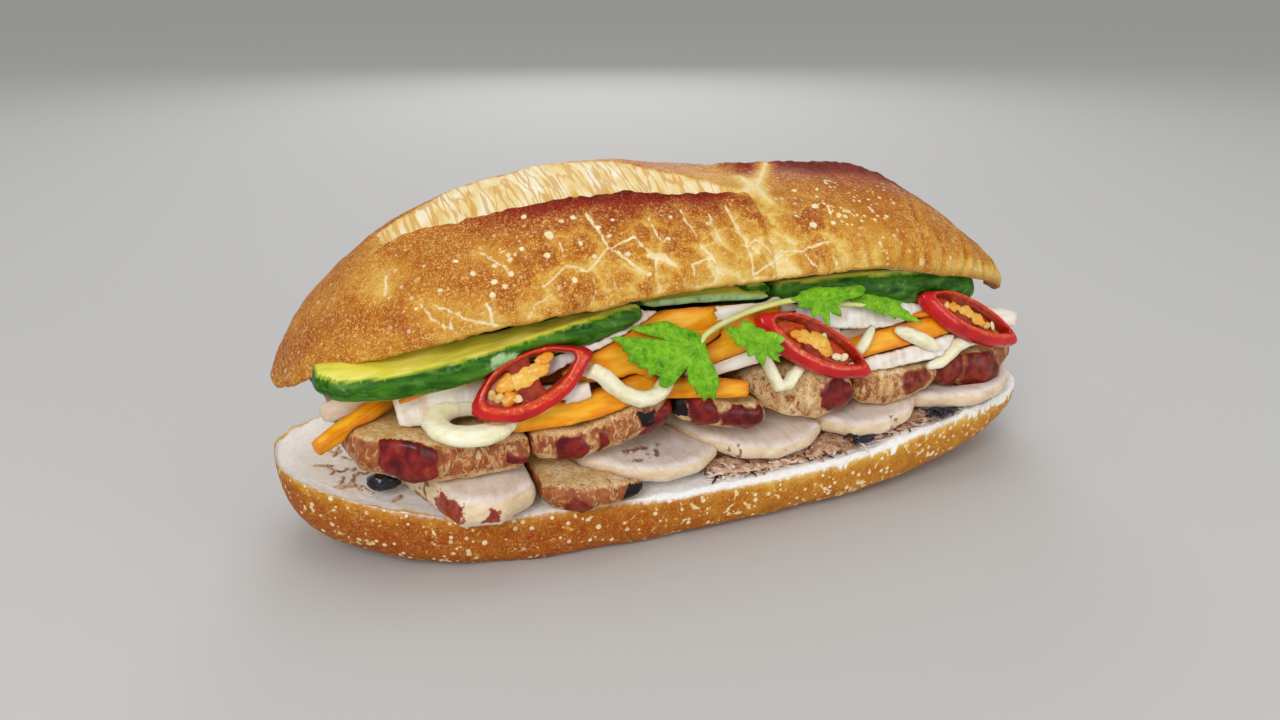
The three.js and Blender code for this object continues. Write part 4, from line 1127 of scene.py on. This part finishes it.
    def crack(self):
        """Small plates of crust low on the front, and the cracks that open between them."""
        x, up = self.x, self.up
        web, plates = cells(x + 4 * self.wobble, 0.8 * up - 3 * self.wobble, 7, 43)
        webbed = smooth(-66, -44, x) * smooth(40, 24, x) * smooth(29, 20, up)
        webbed = webbed * (1 - self.opening) * (1 - self.dark)
        self.bake += webbed * (0.22 * (plates - 0.5) - 0.2 * near(web, 0.8))
        self.lift += webbed * 0.35 * smooth(0, 1.6, web)
        open_crack = np.zeros(x.shape)
        for strength, path in CRACKS:
            d = self.distance(path, 1)
            self.dough = np.maximum(self.dough, strength - d / 1.7 - 0.14 * self.noise(4, 44, 2) - 0.06)
            open_crack = np.maximum(open_crack, near(d, 3))
            self.lift -= 0.35 * near(d, 0.6)
        self.lift -= 0.4 * open_crack
        self.bake += webbed * 0.16 - 0.2 * open_crack

    def bridge(self):
        """Stretched dough between the two scores."""
        for path in BRIDGES:
            d = self.distance(path, 2)
            self.bake = mix(self.bake, 0.08, 0.95 * near(d, 2.6))
            self.dough = np.maximum(self.dough, 0.78 * near(d, 1.8))
            self.lift += 0.3 * near(d, 1.5)

    def fold(self):
        """Creases that fade out upward, painted darker in their grooves as painted shade and paler on the
        ridges beside them as painted highlights, and the crinkled pale rim at the left.
        """
        for depth, path in FOLDS:
            top = path[0][1]
            d = distance_to(path, self.x + 1.2 * self.wobble, self.up)
            folded = smooth(top + 1, 0.3 * top, self.up) * (0.8 + 0.5 * self.noise(5, 49))
            self.lift += depth * folded * (0.5 * near(d - 1.9, 1.2) - near(d, 0.8))
            # Darker in the groove as painted shade, paler on the ridge beside it as a painted highlight.
            self.bake += folded * (0.16 * near(d, 0.7) - 0.08 * near(d - 1.9, 1.1))
        crinkled = near(self.up - 3, 2.6) * smooth(-96, -86, self.x) * smooth(-36, -52, self.x)
        self.dough = np.maximum(self.dough, 1.6 * crinkled * self.noise((1.2, 6, 6), 48, 2))

    def blister(self):
        for x, up, radius in BLISTERS:
            d = np.hypot(self.x - x, self.up - up) + 0.3 * self.noise(1.2, 52)
            self.lift += 0.25 * near(d / radius, 0.9)
            self.dough = np.maximum(self.dough, 0.76 + (radius - d) / 1.6)

    def surface(self):
        """The points with every feature on them, and a ragged edge along the rims."""
        uneven = 0.7 * self.noise(17, 61) + 0.3 * self.noise(6, 62, 2) + 0.09 * self.noise(1.6, 63, 2)
        normals = grid_normals(self.points)
        normals *= np.sign((normals * (self.points - (0, 0, 60))).sum())
        points = self.points + normals * (self.lift + uneven)[..., None]
        points[..., 1] += 0.6 * self.dark
        to_rim = np.minimum(self.up, from_back(points))
        points[..., 2] += near(to_rim, 2.5) * 0.4 * noise(points, (5, 9, 9), 64, 2)
        return points


def upper_bun():
    x = stations(UPPER, 420)[:, None]
    w = half_width(UPPER, x)
    crust = UpperCrust(x)
    lip_1_tone = track((-66, 0), (-48, 0.8), (-30, 1), (10, 1))
    lip_2_tone = track((10, 0), (22, 0.95), (60, 1), (80, 0.5))
    before_lip_1, before_lip_2, _ = np.cumsum(crust.BANDS)
    crust.score(
        crust.lip_1, front_score_back, start=-90, end=13, fades=(16, 5),
        columns=before_lip_1, burnt=lip_1_tone, wide=4.8,
    )
    crust.score(
        crust.lip_2, back_score_back, start=4, end=88, fades=(14, 16),
        columns=before_lip_2, burnt=lip_2_tone, wide=9,
    )
    crust.fill_scores()
    crust.brown()
    crust.step()
    crust.crack()
    crust.bridge()
    crust.fold()
    crust.blister()
    over = crust.surface()

    # The cut face under it arches up, and its front edge is turned under at the right.
    shares = np.concatenate([np.linspace(0.985, 0, 9), -np.linspace(0.08, 0.985, 16)])
    s = (shares + 1) / 2
    face_y = w * shares
    turned_under = 1.8 * smooth(35, 65, x)
    face_z = mix(over[:, :1, 2] - 0.8 - turned_under, over[:, -1:, 2], s) + CUT_DISH * 4 * s * (1 - s)
    face = np.stack([x + 0 * face_y, face_y, face_z], -1)
    face[..., 2] += 0.5 * noise(face, 2.4, 66, 2) + 0.3 * noise(face, 8, 67)
    tan = near(face_y + w, 5)

    obj = loft("upper_roll", np.concatenate([over, face], axis=1))
    blistered = 0.3 + 0.4 * noise(over, 12, 68) + 0.2 * smooth(26, 34, crust.x)
    blistered *= (1 - crust.opening) * (1 - 0.6 * crust.dark)
    bake = (crust.bake, 0.2 + 0.16 * tan)
    paint_half(obj, "bread", over, face, bake, (crust.dough, 0), (0, 0.75 - 0.45 * tan))
    paint_half(obj, "skin", over, face, (blistered, 0), (crust.opening, 0))
    return obj


# ---------------------------------------------------------------- lower half of the roll
def lower_bun():
    x = stations(LOWER, 380)[:, None]
    t = (x - LOWER["centre"]) / LOWER["half_length"]
    w = half_width(LOWER, x)

    # The crust goes from the front rim under the roll to the back rim.
    depth = np.where(t < 0, rounded(t, 3), rounded(t, 2.2))
    power = mix(5, 2.6, t**4)
    u = np.concatenate([np.linspace(0, 0.42, 66), np.linspace(0.43, 0.86, 26), np.linspace(0.87, 1, 24)])
    a = np.pi * u[None, :]
    side = np.sign(np.cos(a)) * np.abs(np.cos(a)) ** (2 / power)
    rim = mix(lower_front_rim(x), lower_back_rim(x), (1 - side) / 2)
    drop = (rim + lower_foot_dip(x)) * depth * np.sin(a) ** (2 / power)
    crust = np.stack([x + 0 * side, -w * side, np.maximum(0, rim - drop)], -1)
    to_rim = np.minimum(along(crust), from_back(crust))
    normals = grid_normals(crust)
    normals *= np.sign((normals * (crust - (0, 0, 20))).sum())

    # It is golden toward its rims and its right, and pale where the roll stood flat.
    xs = crust[..., 0]
    golden = smooth(-35, 25, xs) * smooth(112, 92, xs)
    ragged = noise(crust, 2.6, 19, 2)
    flat = smooth(0.6, 0.0, crust[..., 2]) * smooth(6, 14, to_rim)
    bake = 0.61 + 0.08 * noise(crust, 22, 1, 2) + 0.08 * noise(crust, 4, 2, 2)
    bake -= 0.24 * near(to_rim, 2.4 + 1.2 * noise(crust, 7, 4))
    bake -= golden * (0.16 + 0.2 * near(to_rim, 4 + 2 * ragged))
    bake = mix(bake, 0.42, flat)
    blistered = 0.66 + 0.3 * noise(crust, 9, 8, 2) + 0.12 * smooth(-30, 10, xs)
    blistered *= 1 - 0.8 * flat
    frayed = smooth(0.5, -0.5, to_rim - golden * (2.6 + 2.6 * ragged))
    lift = (0.5 * noise(crust, 15, 11) + 0.22 * noise(crust, 2.4, 12, 3)) * (1 - flat)
    crust = crust + normals * lift[..., None]
    crust[..., 2] = np.maximum(crust[..., 2], 0)
    crust[..., 2] += near(to_rim, 1.6) * (0.2 + 0.8 * noise(crust, (3.6, 9, 9), 13, 3))

    # The cut face joins the ragged rims and dishes between them.
    shares = np.concatenate([
        np.linspace(0.98, 0.3, 14), np.linspace(0.26, -0.55, 20), np.linspace(-0.57, -0.985, 34),
    ])
    s = (shares + 1) / 2
    face_y = w * shares
    face_z = mix(rim[:, :1], rim[:, -1:], s) - CUT_DISH * 4 * s * (1 - s)
    for edge, away in ((0, 1 + shares), (-1, 1 - shares)):
        face_z = face_z + (crust[:, edge, 2] - rim[:, edge])[:, None] * near(away * w, 2)
    face = np.stack([x + 0 * face_y, face_y, face_z], -1)
    inward = (1 - np.abs(shares)) * w
    face[..., 2] += smooth(0, 1.2, inward) * (0.12 * noise(face, 2, 14, 2) + 0.4 * noise(face, 9, 15))

    # Its crumb is stained by the fillings, and toasted along its edge at the left.
    soaked = smooth(3.5, 8, inward) * smooth(-0.1, 0.5, noise(face, 6, 16, 2))
    stain = soaked * smooth(0.2, 0.6, noise(face, (3, 2, 2), 17, 3))
    toasted = smooth(-30, -70, x) * near(inward, 1.5 + 1.2 * noise(face, 4, 18, 2))

    obj = loft("lower_roll", np.concatenate([crust, face], axis=1))
    crumb = (frayed, 1 - 0.5 * stain - 0.7 * toasted)
    paint_half(obj, "bread", crust, face, (bake, 0.25 + 0.3 * stain), (0, 0), crumb)
    paint_half(obj, "skin", crust, face, (blistered, 0))
    return obj


place(upper_bun(), BREAD, "bread", "bun_upper")
place(lower_bun(), BREAD, "bread", "bun_lower")


# ---------------------------------------------------------------- roast pork
roast(
    "pork_1", 101, brown=0.58, bands=0.4,
    glaze=[
        [(-89, 38.8), (-86, 39.4), (-80, 36.8), (-77, 35), (-77.4, 29), (-79.5, 27), (-84.5, 27), (-90, 32)],
        [(-60, 31.6), (-54, 28), (-54.5, 26.8), (-61, 29.4)],
    ],
)
roast(
    "pork_2", 102, brown=0.5,
    glaze=[
        [(-48, 32), (-45, 33), (-41.5, 32.4), (-39, 29), (-40.5, 26), (-46, 26), (-47.4, 29)],
        [(-37, 33.5), (-34.6, 32.4), (-34, 28.4), (-36.4, 27.6)],
        [(-22, 35.5), (-16.5, 38.5), (-16.5, 31), (-21, 29.4), (-25.5, 30)],
    ],
    char=[
        [(-26.5, 36.2), (-21.6, 36), (-22, 33), (-25, 32.6)],
        [(-19, 34), (-17.2, 34), (-17.2, 31), (-18.6, 31)],
    ],
)
roast(
    "pork_3", 103, brown=0.3,
    glaze=[
        [(-13.4, 38.4), (-7.5, 38), (-5, 35), (-4.4, 30.4), (-8.5, 29.4), (-11.4, 31.6)],
        [(-4.4, 33), (0.5, 34.6), (4, 33.4), (8.4, 33), (8.4, 27.4), (4, 27), (-3, 30)],
    ],
    char=[[(-17, 41), (-13.4, 41), (-12.4, 33), (-17, 32)]],
)
roast(
    "pork_4", 104, brown=0.27,
    glaze=[[(25.5, 33.6), (28.5, 36.8), (33.5, 36.8), (38, 32), (38, 26.6), (33.5, 25.6), (27, 29.4)]],
)
roast(
    "pork_5", 105, brown=0.4, bands=1.0, depth=0.55,
    glaze=[[(50, 35.4), (61, 35.4), (63, 32.5), (59.4, 29.4), (54, 28.6)]],
)
roast(
    "pork_6", 106, brown=0.75, depth=0.56,
    glaze=[
        [(66, 35), (71, 38), (75.4, 37.4), (75.4, 32), (73.6, 26.6), (68, 26.6)],
        [(76, 36.4), (80, 38), (86.4, 35), (89, 29), (85, 24.4), (78, 24.4), (74.8, 28.5)],
    ],
)
roast("pork_7", 107, brown=0.5, depth=0.6, glaze=[[(101, 34), (105, 33), (105, 29), (102, 28)]])
roast(
    "pork_low_2", 108, brown=0.66, depth=0.56,
    glaze=[[(-48, 18), (-45.5, 20.4), (-42.6, 19), (-40.5, 16.4), (-44, 14.2), (-47.5, 15.4)]],
    char=[[(-31, 20), (-26, 19.5), (-25.6, 16), (-31, 14), (-33, 14.5)]],
)

# ---------------------------------------------------------------- white slices
white_meat("slice_1", 201, marks=[(-24.4, -30.7, 23.4, 4.4), (-19.5, -28.5, 23.6, 3.6), (-12, -31, 22, 2)])
white_meat("slice_2", 202, marks=[(2, -33, 21, 2)])
white_meat("slice_3", 203, marks=[(48, -36, 23, 2.4), (52, -35, 21.6, 2.2), (55.5, -34, 22, 2)])
white_meat("slice_4", 204, marks=[(88, -28, 22, 2)])
white_meat(
    "pork_low_1", 205, beige=0.9,
    marks=[(-79, -27, 20.5, 5), (-81, -21, 21, 4), (-77, -32, 19, 4)],
    red=[
        [(-77, 23.4), (-72.4, 23), (-73.2, 19), (-74, 14.6), (-77, 14.6)],
        [(-66.4, 21.5), (-64, 19.5), (-65, 15.5), (-68.5, 18)],
    ],
)

# ---------------------------------------------------------------- cucumber
# Its patches are painted highlights on its skin.
cucumber("cucumber_left", 301, patches=[(-61, -33.4, 54, 2.2), (-57, -33.4, 54.6, 1.8)])
cucumber("cucumber_thin", 302, pale=1.0, swell=-0.4, voxel=0.5, smoothing=5)
cucumber("cucumber_dark", 303)
cucumber("cucumber_right", 304, pale=0.05)
cucumber("cucumber_back_left", 305)
cucumber("cucumber_back_right", 306)

# ---------------------------------------------------------------- sauce, chili and herbs
sauce("mayo_loop", 400, swell=1.0)
for seed, line in enumerate(("mayo_curl", "mayo_point", "mayo_drip", "mayo_stick", "mayo_right")):
    sauce(line, 401 + seed)

chili(
    "chili_left", 501,
    flesh=[
        (-0.35, -0.1, -0.9, 6, 3.4, 0.5, 0.3), (-0.3, 0.16, 0.2, 2.8, 1.7, 1.1, 0.75),
        (-0.08, 0.1, 0.4, 3, 2, 1.2, 0.85), (0.14, 0.12, 0.4, 2.6, 1.6, 1.1, 0.8),
        (0.3, 0.34, 0.5, 2, 1.2, 1, 0.7), (-0.4, -0.28, 0, 1.6, 1.4, 1, 0.65),
    ],
    seeds=[
        (-0.55, -0.12, 0.3, 0.4), (-0.48, -0.36, 0.3, 1.9), (-0.3, -0.4, 0.5, 2.8), (-0.62, 0.06, 0.2, 1.2),
    ],
)
chili(
    "chili_middle", 502,
    flesh=[
        (0, 0, -1.1, 10, 3, 0.5, 0.28), (-0.16, 0, 0.4, 2.6, 1.6, 1.1, 0.8),
        (0.02, 0.08, 0.6, 2.8, 1.9, 1.1, 0.85), (0.14, -0.16, 0.5, 2.2, 1.5, 1, 0.75),
        (-0.32, -0.1, 0.2, 2, 1.2, 0.9, 0.7),
    ],
    seeds=[(0.38, -0.18, 0.2, 0.2), (0.5, -0.06, 0.1, 0.8), (0.1, 0.3, 0.6, 2.2)],
)
chili(
    "chili_right", 503,
    flesh=[
        (-0.05, 0, -1, 10, 2.8, 0.5, 0.28), (-0.3, 0, 0.3, 2.6, 1.4, 1, 0.75),
        (-0.1, 0.06, 0.5, 2.8, 1.7, 1.1, 0.85), (0.12, -0.05, 0.5, 2.4, 1.5, 1, 0.8),
    ],
    seeds=[(0.34, -0.1, 0.3, 0.5), (-0.5, -0.1, 0.3, 1.4), (0.48, 0.05, 0.1, 2.3)],
)
SEEDS.build("chili_seeds", SEED, "chili")
FLESH.build("chili_flesh", CHILI_FLESH, "chili")

leaf(
    "leaf_large", (-12, -37.5, 53.5), lean=0.4, cup=1.2, seed=601,
    outline=[
        (24, 2.2), (64, 3), (100, 3.5), (125, 5.7), (136, 10.1), (141, 11), (147, 12.6), (153, 14.6),
        (158.6, 18.1), (161, 12), (162.6, 6.2), (164, 8), (165.4, 20), (167, 22.4), (170, 19.7),
        (173.6, 18.1), (176, 19.1), (179.6, 16.7), (185, 18), (189, 15.2), (193, 16), (197, 13.5),
        (203, 14.6), (208, 11.9), (217, 14), (226, 13), (231, 10), (234.5, 5.5), (239, 7.4), (245.6, 7.9),
        (251, 10.2), (256.5, 9.8), (263, 12.4), (267, 11.6), (272, 14.1), (278, 12.8), (284, 14.8),
        (289, 12), (294, 11.5), (298.4, 9.2), (304, 7), (313, 3.8), (334, 2.4),
    ],
    veins=[(154, 13), (168, 19), (193, 14), (217, 12), (278, 13)],
)
leaf(
    "leaf_middle", (3.4, -40.4, 53.2), lean=0.35, cup=1, seed=604,
    outline=[
        (9, 6.5), (41, 3.5), (90, 3.7), (121, 6.9), (138, 6.2), (152, 10.4), (157, 8.1), (163, 8.4),
        (168, 6.2), (176, 6.6), (188, 4), (202, 3.8), (226, 4.6), (242, 3.1), (259, 4.6), (278, 6.2),
        (294, 3.4), (304, 5.4), (312, 7.8), (324, 6.1), (340, 7.3), (348, 5.7), (358, 7.8),
    ],
    veins=[(152, 9), (226, 4), (277, 5), (313, 7), (358, 7), (122, 6)],
)
leaf(
    "leaf_top", (25.5, -33.5, 59.8), lean=0.5, cup=1, seed=602,
    outline=[
        (5.7, 12.9), (12, 10.9), (17, 7.7), (24, 5.6), (40, 4.1), (80, 3.1), (118, 3.9), (145, 5.2),
        (155, 6.8), (164, 7.1), (172.6, 9.3), (178.6, 6.7), (187, 7.6), (203, 4.5), (228, 6.1),
        (239, 4.1), (256, 4.9), (270, 7.4), (286, 3.2), (302, 5.1), (313, 6.8), (327, 4.4), (341, 4.4),
        (354, 7), (359.4, 12.1),
    ],
    veins=[(173, 9), (228, 6), (270, 7), (313, 6), (5, 12)],
    curl=2.6,
)
leaf(
    "leaf_long", (44, -32.5, 55.6), lean=0.6, cup=0.7, seed=606,
    outline=[
        (2.6, 6.7), (23, 3.6), (58, 3), (90, 2.5), (118, 3.4), (144, 6.4), (150, 6.1), (157, 9),
        (166, 8.8), (176, 5.2), (200, 3.1), (249, 2.2), (300, 2.9), (313, 5.5), (321, 5.3), (327, 9.5),
        (330, 9.1), (332.4, 13.7), (336.6, 11), (340, 8.6), (344, 8.8), (349, 6.4), (356, 5.8),
    ],
    veins=[(160, 8), (332, 12), (313, 5), (3, 6)],
)


def stems():
    """The stem from the large leaf to the top one, and the one between the two right leaves."""
    heap = Heap()
    long_stem = [(-12, -38, 51.2), (-9.5, -36, 55), (1, -33.4, 58.2), (12, -31.6, 59.6), (21, -31.8, 60.2)]
    short_stem = [(27, -33.6, 58.6), (34, -31.6, 57), (44, -32, 55.4)]
    heap.add(*bar(long_stem, 1.5, 1.5, count=24), 0.6)
    heap.add(*bar(short_stem, 1.2, 1.2, count=16), 0.45)
    heap.build("stems", STEM, "herb")


stems()

# ---------------------------------------------------------------- carrot and daikon
for seed, node in enumerate(sorted(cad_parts)):
    if node.startswith("carrot"):
        cut_strip(node, CARROT, "carrot", 701 + seed)
    if node in ("daikon_left", "daikon_up", "daikon_wide", "daikon_low"):
        limp_slices(node, 701 + seed)
    elif node.startswith("daikon"):
        cut_strip(node, DAIKON, "daikon", 701 + seed)


PILE_TRIES = 900
PILE_STRIPS = 190
PILE_THICKNESS = {"carrot": 3.4, "daikon": 2.6}


def pickle_pile():
    """The heap behind the front strips: carrot and daikon strips laid along the roll within its solid."""
    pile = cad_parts["pickle_pile"]
    low, high = [np.array(corner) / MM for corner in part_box("pickle_pile")]

    def height(x, y, share):
        top = pile.ray_cast(Vector((x * MM, y * MM, 0.2)), Vector((0, 0, -1)))
        bottom = pile.ray_cast(Vector((x * MM, y * MM, 0)), Vector((0, 0, 1)))
        return mix(bottom[1].z / MM + 1.5, top[1].z / MM - 1.5, share) if top[0] and bottom[0] else None

    heaps = {"carrot": Heap(), "daikon": Heap()}
    laid = 0
    for k in range(PILE_TRIES):
        r = chance(np.array([[k, j, 7] for j in range(7)]), 71)
        kind = "carrot" if r[0] < 0.5 else "daikon"
        half = 9 + 12 * r[1]
        turn = 0.5 * (r[2] - 0.5)
        x0, y0 = mix(low[0] + 6, high[0] - 6, r[3]), mix(low[1] + 2, high[1] - 2, r[4])
        path = []
        for t in np.linspace(-half, half, 7):
            x, y = x0 + t * math.cos(turn), y0 + t * math.sin(turn) + 1.5 * math.sin(t / 6 + 9 * r[5])
            z = height(x, y, r[6])
            if z is not None:
                path.append((x, y, z))
        if len(path) >= 4:
            strip = bar(
                path, PILE_THICKNESS[kind], 3 + 1.6 * r[5],
                count=9, sides=8, power=4, lean=1.2 * (r[2] - 0.5),
            )
            heaps[kind].add(*strip, 0.35 + 0.4 * r[5])
            laid += 1
        if laid == PILE_STRIPS:
            break
    heaps["carrot"].build("carrot_pile", CARROT, "carrot", "pickle_pile")
    heaps["daikon"].build("daikon_pile", DAIKON, "daikon")


def slivers():
    """A few thin strips that lie in the gaps between the cut ones."""
    carrot, daikon = Heap(), Heap()
    carrot_left = [(-84, -29.5, 46.4), (-72, -30, 49.6), (-58, -30.5, 52.6)]
    carrot_right = [(58, -27.5, 49.8), (68, -27, 49.4), (78, -26, 47)]
    daikon_left = [(-100, -13.5, 39.4), (-93, -17, 43), (-84, -19.5, 46.6)]
    daikon_middle = [(30, -25, 45.4), (42, -25.4, 46.4), (56, -25, 47.8)]
    carrot.add(*bar(carrot_left, 1.8, 1.4, count=14), 0.3)
    carrot.add(*bar(carrot_right, 1.8, 1.8, count=12), 0.5)
    daikon.add(*bar(daikon_left, 1.8, 5, count=14, power=4), 0.5)
    daikon.add(*bar(daikon_middle, 2, 3.6, count=14, power=4), 0.45)
    carrot.build("carrot_slivers", CARROT, "carrot")
    daikon.build("daikon_slivers", DAIKON, "daikon")


pickle_pile()
slivers()


# ---------------------------------------------------------------- minced layer, shreds and dark bits
def minced_layer():
    obj, p, n = remeshed("pate", "minced_layer", voxel=1.0, smoothing=2)
    top = smooth(0.1, 0.6, n[:, 2])
    reshape(obj, p + n * (top * (0.5 * noise(p, 2, 81, 2) + 0.3 * noise(p, 5, 82)))[:, None])
    paint(obj, "mark", 0.5 + 0.35 * noise(p, (3, 2, 2), 83, 3))
    place(obj, MINCED, "pate", "pate")


LAYER_SHREDS = 190
FACE_SHREDS = 24


def minced_shreds():
    """Shreds along the front of the minced layer, and a few on the left of the cut face."""
    shreds = Heap()
    for k in range(LAYER_SHREDS + FACE_SHREDS):
        r = chance(np.array([[k, j, 3] for j in range(6)]), 84)
        if k < LAYER_SHREDS:
            x = mix(-6, 76, r[0])
            y = -float(half_width(LOWER, x)) + 2.2 + 6 * r[1] ** 1.4
            raised = 0.3 + 1.6 * r[5]
            tone = r[4]
        else:
            x = mix(-101, -84, r[0])
            y = mix(-22, 4, r[1])
            raised = 0.3
            tone = 0.42 + 0.2 * r[4]
        turn = 2 * np.pi * r[2]
        half = 1.2 + 1.8 * r[3]
        path = []
        for t in (-1, -0.3, 0.4, 1):
            px, py = x + t * half * math.cos(turn), y + t * half * math.sin(turn) + 0.5 * math.sin(3 * t + k)
            path.append((px, py, float(bed(px, py)) + raised + 0.35 * math.sin(4 * t + 2 * k)))
        shreds.add(*bar(path, 0.6 + 0.5 * r[4], 0.5, count=8, sides=7), tone)
    shreds.build("minced_shreds", MINCED, "pate")


def dark_bit(node, seed):
    obj, p, n = remeshed(node, node + "_lump", voxel=0.35, smoothing=3)
    reshape(obj, p + n * (0.35 * noise(p, 2.2, seed, 2))[:, None])
    paint(obj, "mark", 0.5 + 0.5 * noise(p, 2, seed + 1))
    place(obj, DARK, "dark_bit", node)


TANGLE_SHREDS = 11


def dark_tangle(node, seed):
    """Short dark shreds lying across each other where a flat dark bit is."""
    low, high = [np.array(corner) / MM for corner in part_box(node)]
    tangle = Heap()
    for k in range(TANGLE_SHREDS):
        r = chance(np.array([[k, j, 5] for j in range(6)]), seed)
        middle = mix(low, high, 0.25 + 0.5 * r[:3])
        half = 0.3 * (high - low)[0] * (0.5 + r[3])
        path = [
            middle + (t * half, 0.7 * math.sin(3 * t + k) + 1.6 * (r[4] - 0.5) * t, 0.4 * math.sin(2 * t + k))
            for t in (-1, -0.4, 0.3, 1)
        ]
        tangle.add(*bar(path, 1 + 0.8 * r[5], 0.8, count=8, sides=8), r[5])
    tangle.build(node + "_shreds", DARK, "dark_bit", node)


minced_layer()
minced_shreds()
dark_bit("dark_bit_left", 91)
dark_tangle("dark_bit_middle", 92)
dark_tangle("dark_bit_right", 93)


# ---------------------------------------------------------------- stage, light and camera
FLOOR_REACH = 9000


def make_stage():
    corners = [(FLOOR_REACH * x, FLOOR_REACH * y, 0) for x, y in ((-1, -1), (1, -1), (1, 1), (-1, 1))]
    floor = make_object("floor", corners, [(0, 1, 2, 3)])
    s = Shader("floor", roughness=0.9)
    floor.data.materials.append(s.finish(colour("#c9c8c6")))


def area_light(name, position, size, power):
    light = bpy.data.lights.new(name, "AREA")
    light.shape = "DISK"
    light.size = size
    light.energy = power
    obj = bpy.data.objects.new(name, light)
    obj.location = position
    obj.rotation_euler = (Vector((0, 0, 0.045)) - Vector(position)).to_track_quat("-Z", "Y").to_euler()
    scene.collection.objects.link(obj)


def make_lights():
    world = bpy.data.worlds.new("studio")
    world.use_nodes = True
    world.node_tree.nodes["Background"].inputs["Color"].default_value = (1, 1, 1, 1)
    world.node_tree.nodes["Background"].inputs["Strength"].default_value = 0.47
    scene.world = world
    area_light("key", (-0.56, -0.7, 0.6), 0.45, 4.5)
    area_light("fill", (0.5, -0.8, 0.2), 0.5, 1.7)
    area_light("top", (0.0, 0.15, 1.0), 0.7, 1.7)
    area_light("back", (0.3, 0.9, 0.5), 0.6, 2.0)


def make_camera():
    """A camera 22 degrees to the left of the front and 20 degrees above it."""
    azimuth, elevation, distance = math.radians(-22), math.radians(20), 0.320
    target = Vector((-0.012, 0, 0.037))
    back = Vector((
        math.sin(azimuth) * math.cos(elevation), -math.cos(azimuth) * math.cos(elevation), math.sin(elevation)
    ))
    camera = bpy.data.cameras.new("camera")
    camera.sensor_width = 36
    camera.lens = 32.34375
    camera.clip_start = 0.01
    obj = bpy.data.objects.new("camera", camera)
    obj.location = target + distance * back
    obj.rotation_euler = (-back).to_track_quat("-Z", "Y").to_euler()
    scene.collection.objects.link(obj)
    scene.camera = obj


make_stage()
make_lights()
make_camera()
scene.view_settings.view_transform = "Standard"
